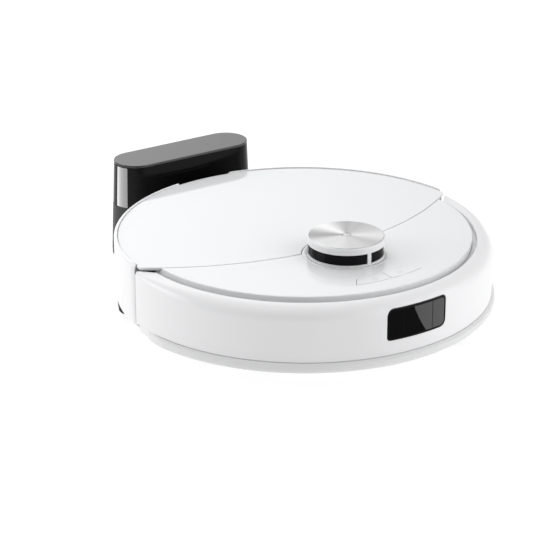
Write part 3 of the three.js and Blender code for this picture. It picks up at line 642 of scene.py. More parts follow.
def make_button(side, name, node):
    """One half of the button pair. Its node and its body have the same name."""
    full = button_outline(GAP)
    half = [(x, y) for x, y in full if x * side > 0]
    front = -(BUTTON_FRONT_R - GAP)
    back = full[0][1]
    if side > 0:
        outline = half[:1] + [(GAP, back), (GAP, front)] + half[1:]
    else:
        outline = half + [(-GAP, front), (-GAP, back)]
    obj = smooth(plate(name, [about(outline)], TOP - 4.5 * MM, TOP - 0.05 * MM, 0.3 * MM))
    dress(obj, WHITE_GLOSS, node, "white_gloss", node)


make_button(1, "power_key", "power_button")
make_button(-1, "dock_key", "dock_button")


def stroke(points, width):
    """A thin even line along points, as one closed outline."""
    left, right = [], []
    for i, point in enumerate(points):
        before = Vector(points[max(i - 1, 0)])
        after = Vector(points[min(i + 1, len(points) - 1)])
        across = (after - before).normalized().orthogonal() * width / 2
        left.append(tuple(Vector(point) + across))
        right.append(tuple(Vector(point) - across))
    return left + right[::-1]


def printed(name, lines, centre, body):
    """Line work a hair thick, printed on a button."""
    marks = []
    for line in lines:
        placed = [(centre[0] + x * MM, centre[1] + y * MM) for x, y in line]
        marks.append(prism("line", about(stroke(placed, 0.4 * MM)), TOP - 0.06 * MM, TOP - 0.02 * MM))
    dress(joined(name, *marks), INK, body, "grey_plastic")


def make_icons():
    """A power sign and a little house."""
    ring = arc((0, 0), 2.2, math.radians(125), math.radians(415), 28)
    row = -128.6 * MM
    printed("power_icon", [ring, [(0, 0.6), (0, 3)]], (14 * MM, row), "power_button")
    roof = [(-2.8, 0), (0, 2.6), (2.8, 0)]
    walls = [(-2, 0.3), (-2, -2.2), (2, -2.2), (2, 0.3)]
    printed("home_icon", [roof, walls], (-14 * MM, row), "dock_button")


make_icons()

# ---- rear wall and bumper -----------------------------------------------------------------


def finger_notch():
    """The dip in the rim where a finger lifts the lid."""
    outline = mm([(-32, 83), (-28.5, 76.4), (28.5, 76.4), (32, 83)])
    return prism("notch", outline, ROBOT.y + 150 * MM, ROBOT.y + 190 * MM, "y")


def exhaust_slots():
    """A row of upright air slots on one side of the rear wall."""
    slots = []
    for i in range(SLOTS):
        outline = oblong(-1.6 * MM, 1.6 * MM, 42 * MM, 62 * MM, 1.5 * MM)
        slot = prism("slot", outline, 163 * MM, 181 * MM, "y")
        turn = Matrix.Rotation(math.pi + math.radians(SLOT_START + SLOT_STEP * i), 4, "Z")
        slot.data.transform(Matrix.Translation((*ROBOT, 0)) @ turn)
        slots.append(slot)
    return slots


def rear_pockets():
    """Shallow pockets that the contacts and the infrared window sit in."""
    pockets = []
    for node in ("charge_contact_right", "charge_contact_left", "recharge_window"):
        low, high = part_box(node)
        outline = oblong(low.x - GAP, high.x + GAP, low.z - GAP, high.z + GAP, 0.6 * MM, 3)
        pocket = prism("pocket", outline, ROBOT.y + 168 * MM, ROBOT.y + 180 * MM, "y")
        core = lathe("core", mm([(0, 10), (171.7, 10), (171.7, 90), (0, 90)]))
        pockets.append(cut(pocket, core))
    return pockets


def make_rear_shell():
    """The rear wall, its ends turned in a little, and the strips that close both seams, grey as painted
    shade.
    """
    start = SEAM_ANGLE + SEAM_HALF_GAP
    end = 360 - start
    turn_in = 3.0

    def profile(angle):
        near = max(0, 1 - min(angle - start, end - angle) / turn_in)
        out = 174 - 1.8 * near**3
        return rounded(mm([
            (165, 16.3, 0.4), (out - 5, 16.3, 1.2), (out - 1, 21, 4), (out, 40, 20), (out, 79.5, 2.3),
            (170.9, 79.5, 0.3), (170.9, 75.2, 0), (155.6, 75.2, 0), (155.6, 72.8, 0), (170.4, 72.8, 0),
            (170.7, 48, 0), (169.4, 24, 0), (165, 19, 0),
        ]), 6)

    wall = lathe("rear_wall", profile, start=start, end=end, step=0.75)
    cut(wall, finger_notch(), *exhaust_slots(), *rear_pockets())
    dress(smooth(clean(wall)), WHITE_SATIN, "chassis", "white_satin", "rear_shell")
    face = mm([(156, 23), (172.8, 23), (172.8, 75), (156, 75)])
    back = mm([(166, 17), (168.4, 17), (168.4, 68), (166, 68)])
    thickness = 0.35
    for name, angle in (("seam_end_left", start - thickness), ("seam_end_right", end)):
        closing = lathe("face", face, start=angle, end=angle + thickness)
        behind = lathe("behind", back, start=angle - 2.6, end=angle + 2.6)
        # The strips are grey as painted shade in the seam's gap.
        dress(joined(name, closing, behind), PAINTED_SEAM_SHADE, "chassis", "white_satin")


make_rear_shell()


def window_outline(margin):
    """The sensor window's outline: two large corners and two small ones, in X and Z."""
    low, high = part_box("sensor_window")
    small, large = WINDOW_CORNER * 0.55, WINDOW_CORNER + margin
    return rounded([
        (low.x - margin, low.z - margin, small), (high.x + margin, low.z - margin, large),
        (high.x + margin, high.z + margin, small), (low.x - margin, high.z + margin, large),
    ], 8)


def through_bumper(name, outline):
    """An outline in X and Z, pushed through the front of the bumper."""
    return prism(name, outline, BUMPER_LOW.y - 10 * MM, BUMPER_LOW.y + 20 * MM, "y")


def make_bumper():
    """The bumper shell. Its shoulder is tighter near the ends, where its flange is cut on a slant."""
    end = SEAM_ANGLE - SEAM_HALF_GAP

    def profile(angle):
        shoulder = 4 + 9 * min(1, (end - abs(angle)) / 30)
        return rounded(mm([
            (169.6, 16.1, 0.3), (171.6, 16.1, 0.3), (172, 24.9, 0), (174.4, 24.9, 0.2), (175, 25.6, 0.4),
            (175, 75.2, shoulder), (159.8, 75.2, 1.2), (159.8, 71.9, 0), (165, 71.9, 0), (169, 69.5, 0),
            (171.4, 65, 0), (172, 59, 0), (172, 29, 0), (169.6, 26, 0),
        ]), 10)

    obj = lathe("bumper", profile, start=-end, end=end, step=1)
    cutters = [through_bumper("hole", window_outline(0.25 * MM))]
    for side in (-1, 1):
        slant = mm([(side * 158, -7), (side * 173.6, 9.5), (side * 158, 9.5)])
        cutters.append(prism("slant", about(slant), 66 * MM, 80 * MM))
    cut(obj, *cutters)
    dress(smooth(clean(obj)), WHITE_SATIN, "bumper", "white_satin", "bumper_shell")


make_bumper()


def make_bumper_lip():
    """The soft lip along the bumper's foot. It tapers over its last degrees."""
    end = 87
    taper = 9
    section = rounded(mm([
        (0, 15.5, 0.3), (3.3, 15.5, 1.2), (5.7, 18.6, 2), (5.4, 22.6, 1.5), (2.9, 24.7, 0.5), (0, 24.7, 0),
    ]), 5)

    def profile(angle):
        out = 0.15 + 0.85 * math.sin(math.pi / 2 * min(1, (end - abs(angle)) / taper))
        return [(172.3 * MM + r * out, z) for r, z in section]

    obj = lathe("bumper_lip", profile, start=-end, end=end, step=1)
    dress(smooth(obj), SOFT_WHITE, "bumper", "soft_white", "bumper_skirt")


make_bumper_lip()


def window_skin(name, inner, outer, tool):
    """A curved sheet between two radii, cut to an outline in front of the bumper."""
    profile = mm([(inner, 30), (outer, 30), (outer, 74), (inner, 74)])
    sheet = lathe(name, profile, start=-16, end=16, step=0.5)
    return clean(boolean(sheet, "INTERSECT", tool))


def make_window():
    """The sensor window: a gloss pane, a matt border printed round it and two fine upright lines."""
    pane = window_skin("window_pane", 172.2, 174.88, through_bumper("outline", window_outline(0)))
    dress(smooth(pane), WINDOW_GLOSS, "bumper", "black_gloss", "sensor_window")
    printed_r = (174.5, 174.93)
    field = through_bumper("field", window_outline(-WINDOW_BORDER))
    rim = cut(through_bumper("rim", window_outline(0)), field)
    border = window_skin("window_border", *printed_r, rim)
    dress(smooth(border), WINDOW_INK, "bumper", "black_matt")
    low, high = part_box("sensor_window")
    lines = []
    for share in (0.25, 0.75):
        x = low.x + (high.x - low.x) * share
        bottom, top = low.z + WINDOW_BORDER, high.z - WINDOW_BORDER
        outline = [(x - GAP, bottom), (x + GAP, bottom), (x + GAP, top), (x - GAP, top)]
        lines.append(window_skin("line", *printed_r, through_bumper("strip", outline)))
    dress(smooth(joined("window_lines", *lines)), WINDOW_INK, "bumper", "black_matt")


make_window()

# ---- turret -------------------------------------------------------------------------------


def turret_part(name, corners, steps=5):
    """A round part of the turret, from (radius, z, corner radius) corners in millimetres."""
    return lathe(name, rounded(mm(corners), steps), TURRET, step=2)


def make_turret():
    """The cap on its three posts, the disc on top, the dark band behind the posts and the base ring."""
    cap = turret_part("cap", [
        (30, 92.2, 0), (33.8, 92.2, 0), (33.8, 78, 0), (35.4, 78, 0), (35.2, 79.6, 0.4), (35.2, 96.1, 1.3),
        (34.1, 96.1, 0.2), (34.1, 95.4, 0), (30, 95.4, 0),
    ], 6)
    between_posts = mm([(32, 80.1), (38, 80.1), (38, 90.1), (32, 90.1)])
    for angle in POST_ANGLES:
        start, end = angle + POST_HALF, angle + 120 - POST_HALF
        opening = lathe("opening", between_posts, TURRET, start, end, step=2)
        cut(cap, opening)
    dress(smooth(clean(cap)), WHITE_SATIN, "turret", "white_satin", "turret_cap")
    disc = turret_part("cap_disc", [(0, 95.6, 0), (33.8, 95.6, 0), (33.8, 96.5, 0.35), (0, 96.5, 0)])
    dress(smooth(disc), BRUSHED, "turret", "brushed_disc", "turret_disc")
    mark = turret_part("disc_ring", [(3.9, 96.45, 0), (4.3, 96.45, 0), (4.3, 96.5, 0), (3.9, 96.5, 0)])
    dress(mark, INK, "turret", "brushed_disc")
    band = turret_part("window_band", [(31.6, 78.6, 0), (33.5, 78.6, 0), (33.5, 91.9, 0), (31.6, 91.9, 0)])
    dress(smooth(band), SMOKED, "turret", "smoked_window", "turret_window")
    ring = turret_part("base_ring", [
        (35.7, 78, 0), (39.3, 78.7, 0), (39.1, 79.1, 0.2), (37.4, 79.1, 0.3), (35.7, 78.6, 0.2),
    ])
    dress(smooth(ring), TRIM, "chassis", "steel", "turret_ring")


make_turret()


def make_lidar_lenses():
    """Two glass eyes in the front of the spinning head."""
    front, back = TURRET.y - 25.2 * MM, TURRET.y - 23 * MM
    eyes = []
    for x in (-10 * MM, 10 * MM):
        eye = prism("eye", circle((x, 84.4 * MM), 4.4 * MM, 32), front, back, "y")
        eyes.append(soften(eye, 0.6 * MM))
    dress(smooth(joined("lidar_lenses", *eyes)), BLACK_GLOSS, "lidar_head", "black_gloss")


make_lidar_lenses()

# ---- underside ----------------------------------------------------------------------------


def well_opening(name):
    """The hole in the base under a wheel, as the well's walls leave it."""
    low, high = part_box(name + "_wheel_well")
    wall = 2 * MM
    outline = oblong(low.x + wall, high.x - wall, low.y + wall / 2, high.y - wall / 2, 3 * MM)
    return prism("well", outline, 0, CUT_DEPTH)


def ring_groove(x0, x1, y0, y1, radius):
    """A shallow groove along the outline of a panel, cut into the base's underside."""
    width = 0.7 * MM
    outer = oblong(x0, x1, y0, y1, radius)
    inner = oblong(x0 + width, x1 - width, y0 + width, y1 - width, radius - width)
    groove = prism("groove", about(outer), 0, BASE + 0.6 * MM)
    return cut(groove, prism("core", about(inner), -1 * MM, BASE + 2 * MM))


def screw_places():
    """Where screws hold the base pan, the brush cover and the hatch, in the robot's coordinates."""
    half = ((60, -33), (60, -108), (141, 52), (75, 71), (144, -42))
    return mm([(side * x, y) for side in (-1, 1) for x, y in half])


def make_base():
    """The base pan, with its openings, panel grooves, grip ribs and screw recesses."""
    pan = lathe("base_plate", rounded(mm([
        (0, 11, 0), (158, 11, 2), (164.5, 15.5, 1.5), (164.5, 22, 0.5), (161.5, 22, 0.5), (161.5, 17, 0),
        (156.5, 14, 0), (0, 14, 0),
    ]), 4))
    wall = lathe("wall", mm([(150.4, 13), (152.3, 13), (152.3, 75.2), (150.4, 75.2)]), start=-82, end=82)
    shelf = lathe("shelf", mm([(155.5, 69), (161.8, 69), (161.8, 71), (155.5, 71)]), start=-92, end=92)
    boolean(pan, "UNION", wall, shelf)
    low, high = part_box("brush_cover")
    mouth = oblong(low.x - 1 * MM, high.x + 1 * MM, low.y - 1 * MM, high.y + 3 * MM, 3 * MM)
    openings = [mouth, circle(middle("caster_socket"), 18 * MM, 64), circle(SPINNER, 6 * MM, 32)]
    for place in ("front_right", "front_left", "rear_right", "rear_left"):
        openings.append(circle(middle("cliff_sensor_" + place), 7.3 * MM, 32))
    cutters = [well_opening("left"), well_opening("right")]
    cutters += [prism("opening", outline, 0, CUT_DEPTH) for outline in openings]
    cutters.append(ring_groove(-70 * MM, 66 * MM, -104 * MM, -26 * MM, 6 * MM))
    for x, y in screw_places():
        cutters.append(prism("recess", about(circle((x, y), 4 * MM, 24)), 0, BASE + 1.6 * MM))
    for i in range(7):
        y = (-94 + 5 * i) * MM
        rib = oblong(-30 * MM, 30 * MM, y, y + 2 * MM, 0.9 * MM, 3)
        cutters.append(prism("rib", about(rib), 0, BASE + 0.5 * MM))
    cut(pan, *cutters)
    dress(smooth(clean(pan)), WHITE_SATIN, "chassis", "white_satin", "base_pan")


make_base()


def make_screws():
    """Cross-head screws in the recesses of the base."""
    screws = []
    radius, face, back = 2.9 * MM, BASE + 0.5 * MM, BASE + 1.5 * MM
    head = rounded([(0, face, 0), (radius, face, 0.5 * MM), (radius, back, 0), (0, back, 0)], 3)
    arm, half, deep = 1.7 * MM, 0.35 * MM, face + 0.6 * MM
    for place in screw_places():
        x, y = ROBOT + Vector(place)
        screw = lathe("screw", head, Vector((x, y)), step=15)
        for a, b in ((arm, half), (half, arm)):
            cut(screw, slab("cross", (x - a, y - b, 0), (x + a, y + b, deep)))
        screws.append(screw)
    dress(smooth(joined("base_screws", *screws)), STEEL, "chassis", "steel")


make_screws()


def make_brush_cover():
    """The frame round the main brush: a rounded plate with combs that stop things from wrapping."""
    low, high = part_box("brush_cover")
    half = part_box("main_brush")[1].x
    mouth = oblong(-half, half, BRUSH.y - 20 * MM, BRUSH.y + 20 * MM, 3 * MM)
    rim = oblong(low.x, high.x, low.y, high.y, 4 * MM)
    cover = plate("brush_frame", [rim, mouth], low.z, high.z, 0.6 * MM)
    comb = [(BRUSH.y - 20.5 * MM, low.z + 0.2 * MM), (BRUSH.y - 17 * MM, low.z + 0.2 * MM),
            (BRUSH.y - 18.6 * MM, low.z + 2.4 * MM), (BRUSH.y - 20.5 * MM, high.z - 0.4 * MM)]
    combs = []
    for i in range(-3, 4):
        x = 21 * MM * i
        combs.append(prism("comb", comb, x - 0.9 * MM, x + 0.9 * MM, "x"))
    obj = smooth(joined("brush_frame", cover, *combs))
    dress(obj, BLACK_MATT, "brush_frame", "black_matt", "brush_cover")
    latches = []
    front, back, bottom = high.y - 5.8 * MM, high.y - 1 * MM, low.z - 0.5 * MM
    for x in (-72 * MM, 72 * MM):
        corner, far = (x - 6 * MM, front, bottom), (x + 6 * MM, back, high.z)
        latches.append(slab("latch", corner, far, 0.5 * MM))
    dress(smooth(joined("brush_latches", *latches)), GREY_PLASTIC, "brush_frame", "grey_plastic")


make_brush_cover()


def brush_point(radius, angle, x):
    """A point on the main brush. Its vanes lean back from the middle to both ends."""
    turn = angle + 1.1 * abs(x) / BRUSH_HALF
    return Vector((x, BRUSH.y + radius * math.sin(turn), BRUSH.z - radius * math.cos(turn)))


def make_main_brush():
    """A roller with six curved rubber vanes and a row of bristles between each two."""
    low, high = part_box("main_brush")
    half, radius = BRUSH_HALF, (high.z - low.z) / 2
    vane = [(9 * MM, -0.16), (13 * MM, -0.07), (18 * MM, 0.0), (radius, 0.02)]
    vane += [(radius, 0.07), (18 * MM, 0.09), (13 * MM, 0.06), (9 * MM, 0.12)]
    parts = [bar("core", 10 * MM, -half, half, BRUSH.y, BRUSH.z)]
    for i in range(VANES):
        angle = 2 * math.pi * i / VANES
        rings = []
        for step in range(-24, 25):
            x = half * step / 24
            rings.append([brush_point(r, angle + lean, x) for r, lean in vane])
        parts.append(skin("vane", rings))
    roller = joined("brush_roller", *parts)
    dress(smooth(roller, 50), BRUSH_RUBBER, "main_brush", "brush_rubber", "main_brush")
    random.seed(7)
    pairs = []
    for i in range(VANES):
        angle = 2 * math.pi * (i + 0.5) / VANES
        for step in range(-37, 38):
            for _ in range(3):
                x = step * 2 * MM + random.uniform(-0.4, 0.4) * MM
                root = brush_point(9.6 * MM, angle, x)
                tip = brush_point(random.uniform(19.5, 21) * MM, angle + random.uniform(-0.05, 0.05), x)
                pairs.append((root, tip))
    dress(bristles("brush_bristles", pairs, 0.22 * MM), BRISTLE, "main_brush", "brush_rubber")
    ends = []
    for side in (-1, 1):
        inner, outer = sorted((side * half, side * high.x))
        ends.append(bar("end", 5 * MM, inner, outer, BRUSH.y, BRUSH.z, 24))
    dress(smooth(joined("brush_ends", *ends)), GREY_PLASTIC, "main_brush", "grey_plastic")


make_main_brush()


def make_side_brush():
    """A hub with three soft arms, each ending in a fan of bristles."""
    inward = math.degrees(math.atan2(SPINNER.x - ROBOT.x, ROBOT.y - SPINNER.y))
    parts = [lathe("hub", rounded(mm([
        (0, 3.4, 0), (7, 3.4, 1), (10, 5.4, 1), (10, 9.6, 0.6), (4, 10.4, 0.4), (4, 19, 0.3), (0, 19, 0),
    ]), 4), SPINNER, step=6)]
    outline = about(rounded(mm([
        (-3.4, 6, 0), (3.4, 6, 0), (2.2, 20, 8), (2.9, 33, 1), (-2.9, 33, 1), (-2.2, 20, 8),
    ]), 4), SPINNER)
    random.seed(11)
    pairs = []
    for i in range(3):
        arm = plate("arm", [outline], 3.6 * MM, 6.4 * MM, 0.8 * MM)
        turn = 120 * i + inward
        parts.append(turned(arm, turn, SPINNER))
        for _ in range(90):
            share = random.uniform(-1, 1)
            direction = math.radians(turn + 90)
            across = Vector((-math.sin(direction), math.cos(direction)))
            along = Vector((math.cos(direction), math.sin(direction)))
            root = SPINNER + along * 31 * MM + across * share * 2.4 * MM
            length = SPINNER_ARM - random.uniform(0.5, 3) * MM
            lean = share * 0.14
            tip = SPINNER + along * length * math.cos(lean) + across * length * math.sin(lean)
            low, high = random.uniform(4.2, 5.8) * MM, random.uniform(3, 5) * MM
            pairs.append((Vector((*root, low)), Vector((*tip, high))))
    spinner = smooth(joined("side_brush_arms", *parts))
    dress(spinner, BLACK_MATT, "side_brush", "black_matt", "side_brush")
    dress(bristles("side_brush_bristles", pairs, 0.2 * MM), BRISTLE, "side_brush", "brush_rubber")


make_side_brush()


def tread(angle, x, half):
    """Height of the tread, from 0 in a groove to 1 on a lug. The lugs slant to both sides."""
    phase = (TREAD_LUGS * angle / (2 * math.pi) + 0.8 * abs(x) / half) % 1
    rise = min(phase, 0.62 - phase) / 0.09
    return max(0.0, min(1.0, rise))


def make_tyre(name):
    """A rubber tyre with slanting lugs, on the left or the right wheel."""
    low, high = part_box(name + "_tyre")
    centre = middle(name + "_tyre")
    half = (high.x - low.x) / 2
    bore, side, root = 26 * MM, 31 * MM, 33 * MM
    across = [half * (i / 5 - 1) * 0.94 for i in range(11)]
    rings = []
    count = TREAD_LUGS * 16
    for i in range(count):
        angle = 2 * math.pi * i / count
        section = [(-half, bore), (-half, side)]
        section += [(x, root + (WHEEL_R - root) * tread(angle, x, half)) for x in across]
        section += [(half, side), (half, bore)]
        back, down = math.sin(angle), math.cos(angle)
        rings.append([(centre.x + x, centre.y + r * back, centre.z - r * down) for x, r in section])
    obj = smooth(skin(name + "_tread", rings, loop=True), 50)
    dress(obj, RUBBER, name + "_wheel", "tyre_rubber", name + "_tyre")


make_tyre("left")
make_tyre("right")


def make_caster():
    """The caster's wheel: a soft white roller on a pin."""
    origin = Vector((0, 0))
    profile = rounded(mm([
        (0, -7, 0), (11.4, -7, 1.2), (13, -5.2, 1.2), (13, 5.2, 1.2), (11.4, 7, 1.2), (0, 7, 0),
    ]), 5)
    wheel = lathe("caster_roller", profile, origin, step=5)
    pin = lathe("pin", mm([(0, -10), (2, -10), (2, 10), (0, 10)]), origin, step=20)
    boolean(wheel, "UNION", pin)
    place = Matrix.Translation(middle("caster_wheel"))
    wheel.data.transform(place @ Matrix.Rotation(math.pi / 2, 4, "Y"))
    dress(smooth(clean(wheel)), SOFT_WHITE, "caster_wheel", "soft_white", "caster_wheel")


make_caster()

# ---- mop ----------------------------------------------------------------------------------


def make_mop_bracket():
    """The plate that holds the mop pad, with its turned-up dark edge and two latches."""
    low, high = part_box("mop_bracket")
    profile = rounded(mm([
        (0, 5.4, 0), (160, 5.4, 3), (169, 8.2, 5), (172.2, 12, 2), (172.2, 15.6, 0.8), (165.6, 15.6, 0.5),
        (158.4, 10.6, 2), (0, 10.6, 0),
    ]), 5)
    bracket = lathe("mop_plate", profile)
    keep = slab("keep", (-BODY_R, low.y, 0), (BODY_R, BODY_R, 0.03))
    boolean(bracket, "INTERSECT", keep)
    dress(smooth(clean(bracket)), BLACK_MATT, "mop", "black_matt", "mop_bracket")
    latches = []
    for side in (-1, 1):
        x = side * 116 * MM
        corner = (x - 9 * MM, low.y - 3 * MM, low.z + 0.8 * MM)
        latches.append(slab("latch", corner, (x + 9 * MM, low.y + 4 * MM, high.z - 5.5 * MM), 0.8 * MM))
    dress(smooth(joined("mop_latches", *latches)), GREY_PLASTIC, "mop", "black_matt")


make_mop_bracket()


def pad_outline(inset, count=90):
    """The pad's outline, straight in front and an arc behind, with round corners."""
    low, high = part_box("mop_pad")
    radius = high.y - ROBOT.y - inset
    front = low.y - ROBOT.y + inset
    angle = math.acos(front / radius)
    half = math.sqrt(radius**2 - front**2)
    corner = 4 * MM
    margin = 0.07
    outline = [(-half, front, corner), (half, front, corner)]
    back = arc((0, 0), radius, math.pi / 2 - angle + margin, math.pi / 2 + angle - margin, count)
    outline += [(x, y, 0) for x, y in back]
    return about(rounded(outline, 6))


def puff(obj, cap):
    """Blows a closed cloth body up a little. No point moves further than cap."""
    before = [vertex.co.copy() for vertex in obj.data.vertices]
    cloth = obj.modifiers.new("cloth", "CLOTH")
    cloth.settings.use_pressure = True
    cloth.settings.uniform_pressure_force = CLOTH_PRESSURE
    cloth.settings.effector_weights.gravity = 0
    for step in range(CLOTH_FRAMES):
        scene.frame_set(step + 1)
    evaluated(obj)
    scene.frame_set(1)
    for vertex, start in zip(obj.data.vertices, before):
        move = vertex.co - start
        if move.length > cap:
            vertex.co = start + move.normalized() * cap
    return obj


def make_mop_pad():
    """The microfibre pad: a puffed cloth body with sewn channels, a bound edge and stitches."""
    low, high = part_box("mop_pad")
    pad = plate("mop_cloth", [pad_outline(2.6 * MM)], low.z + 0.7 * MM, high.z - 0.5 * MM, 1.4 * MM)
    remesh = pad.modifiers.new("remesh", "REMESH")
    remesh.mode = "VOXEL"
    remesh.voxel_size = 1.7 * MM
    evaluated(pad)
    puff(pad, 0.9 * MM)
    spacing = 15 * MM
    for vertex in pad.data.vertices:
        x, y, z = vertex.co
        off = math.remainder(x, spacing)
        channel = math.exp(-((off / (1.6 * MM)) ** 2))
        if z < PAD_Z:
            z = max(z, low.z + 0.1 * MM) + 1.1 * MM * channel
        vertex.co.z = min(z, high.z)
    subdivide = pad.modifiers.new("smooth", "SUBSURF")
    subdivide.levels = 1
    subdivide.render_levels = 1
    evaluated(pad)
    pad.data.shade_smooth()
    dress(pad, MOP_CLOTH, "mop", "mop_cloth", "mop_pad")

    radius = 1.5 * MM
    edge = [(x, y, PAD_Z) for x, y in pad_outline(radius)]
    dress(round_cord("mop_hem", edge, radius), MOP_HEM, "mop", "mop_cloth")
    stitches = []
    line = pad_outline(4.6 * MM, 150)
    height = low.z + 0.5 * MM
    for start, end in zip(line[::2], line[1::2]):
        stitches.append((Vector((*start, height)), Vector((*end, height))))
    dress(bristles("mop_stitches", stitches, 0.35 * MM), MOP_HEM, "mop", "mop_cloth")


make_mop_pad()

# ---- dust bin -----------------------------------------------------------------------------


def bin_outline(node, inset):
    """The bin's plan: straight in front and at both sides, an arc behind."""
    low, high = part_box(node)
    left, right = low.x + inset, high.x - inset
    radius = high.y - ROBOT.y - inset
    corner = 4 * MM
    front = low.y - ROBOT.y + inset
    start, end = math.acos(right / radius), math.acos(left / radius)
    margin = 0.03
    outline = [(left, front, corner), (right, front, corner)]
    outline += [(x, y, 0) for x, y in arc((0, 0), radius, start + margin, end - margin, 60)]
    return about(rounded(outline, 6))


def filter_opening(radius):
    """The opening over the filter's paper, in Y and Z, inside its edge."""
    low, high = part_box("bin_filter")
    edge = FILTER_EDGE
    return oblong(low.y + edge, high.y - edge, low.z + edge, high.z - edge, radius)


def make_bin_tub():
    """The smoked tub, with its dust inlet in front and an opening at the filter."""
    low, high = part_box("bin_tub")
    tub = soften(prism("tub", bin_outline("bin_tub", 0), low.z, high.z), 0.8 * MM)
    space = prism("space", bin_outline("bin_tub", BIN_WALL), low.z + BIN_WALL, high.z + CUT_DEPTH)
    mouth = oblong(-58 * MM, -2 * MM, 32 * MM, 52 * MM, 4 * MM)
    inlet = prism("inlet", mouth, low.y - 5 * MM, low.y + 5 * MM, "y")
    hole = prism("filter hole", filter_opening(3 * MM), high.x - 5 * MM, high.x + 5 * MM, "x")
    cut(tub, space, inlet, hole)
    dress(smooth(clean(tub)), BIN_SMOKE, "dust_bin", "smoked_bin", "bin_tub")


def make_bin_cover():
    """The tub's cover, with a ribbed dip as its grip."""
    low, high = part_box("bin_cover")
    cover = plate("dust_cover", [bin_outline("bin_cover", 0)], low.z, high.z, 0.8 * MM)
    dip = oblong(-48 * MM, 4 * MM, ROBOT.y + 108 * MM, ROBOT.y + 136 * MM, 8 * MM)
    cut(cover, prism("dip", dip, high.z - 2 * MM, high.z + 5 * MM))
    for i in range(5):
        x = (-38 + 8 * i) * MM
        rib = oblong(x - 1 * MM, x + 1 * MM, ROBOT.y + 113 * MM, ROBOT.y + 131 * MM, 0.9 * MM, 3)
        cut(cover, prism("rib", rib, high.z - 2.8 * MM, high.z))
    dress(smooth(clean(cover)), BLACK_MATT, "dust_bin", "black_matt", "bin_cover")


make_bin_tub()
make_bin_cover()


def make_filter():
    """The filter: a frame round a folded paper element."""
    low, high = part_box("bin_filter")
    case = slab("case", low, high, 0.8 * MM)
    cut(case, prism("opening", filter_opening(2 * MM), low.x - 5 * MM, high.x + 5 * MM, "x"))
    dress(smooth(clean(case), 40), GREY_PLASTIC, "dust_bin", "filter_paper", "bin_filter")
    folds = 28
    thickness = 0.8 * MM
    deep, shallow = low.x + 1.5 * MM, high.x - 1.5 * MM - thickness
    start = low.y + FILTER_EDGE
    pitch = (high.y - low.y - 2 * FILTER_EDGE) / folds
    front = [(deep if i % 2 else shallow, start + pitch * i) for i in range(folds + 1)]
    outline = front + [(x + thickness, y) for x, y in reversed(front)]
    paper = prism("filter_paper", outline, low.z + FILTER_EDGE, high.z - FILTER_EDGE)
    dress(paper, FILTER_PAPER, "dust_bin", "filter_paper")


make_filter()

# ---- electronics --------------------------------------------------------------------------


def make_components(name, body, places):
    """Chips, capacitors and sockets on a board. Each place is a middle and half sizes."""
    parts = []
    for centre, half in places:
        low = [c - h for c, h in zip(centre, half)]
        high = [c + h for c, h in zip(centre, half)]
        parts.append(slab("chip", low, high, min(half) * 0.25, 2))
    dress(smooth(joined(name, *parts)), CHIP, body, "black_matt")


def board_parts():
    """A row of parts along each long edge of the main board and three large chips between."""
    low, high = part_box("main_board")
    face = high.z
    places = []
    for i in range(9):
        x = low.x + (10 + 13 * i) * MM
        tall = (2.5 + 1.5 * (i % 3)) * MM
        places.append(((x, low.y + 7 * MM, face + tall), (3.2 * MM, 3.4 * MM, tall)))
        places.append(((x, high.y - 6 * MM, face + 1.5 * MM), (4.4 * MM, 2.6 * MM, 1.5 * MM)))
    for x, size in ((-34, 8), (0, 10), (33, 6)):
        places.append(((x * MM, middle("main_board").y, face + 0.7 * MM), (size * MM, size * MM, 0.7 * MM)))
    return places


def dock_board_parts():
    """A row of parts on each side of the dock's upright board."""
    low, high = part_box("dock_board")
    places = []
    for i in range(5):
        x = (-32 + 16 * i) * MM
        places.append(((x, low.y - 2.5 * MM, 64 * MM), (4 * MM, 2.5 * MM, 7 * MM)))
        places.append(((x, high.y + 3 * MM, 40 * MM), (5 * MM, 3 * MM, 4 * MM)))
    return places


make_components("main_board_parts", "chassis", board_parts())
make_components("dock_board_parts", "dock", dock_board_parts())

# ---- dock ---------------------------------------------------------------------------------


def dock_radius(z):
    """The dock's end radius at a height: it widens towards the floor."""
    top, foot = 22 * MM, 26 * MM
    return foot + (top - foot) * z / DOCK_TOP


def stadium_ring(z, inset):
    """A straight middle with round ends, about the dock's centre."""
    half, radius, count = 52 * MM, dock_radius(z) - inset, 32
    right = arc((DOCK.x + half, DOCK.y), radius, -math.pi / 2, math.pi / 2, count)
    left = arc((DOCK.x - half, DOCK.y), radius, math.pi / 2, 1.5 * math.pi, count)
    return [(x, y, z) for x, y in right + left]


def dock_part(name, low, high, edge=0.0, inset=0.0):
    """A slice of the dock between two heights, with its top and bottom edges rounded."""
    levels = [(low, inset), (high, inset)]
    if edge:
        turns = [math.pi / 2 * i / 4 for i in range(5)]
        round_off = [(edge * (1 - math.sin(t)), inset + edge * (1 - math.cos(t))) for t in turns]
        levels = [(low + rise, inward) for rise, inward in reversed(round_off)]
        levels += [(high - fall, inward) for fall, inward in round_off]
    return skin(name, [stadium_ring(z, inward) for z, inward in levels])


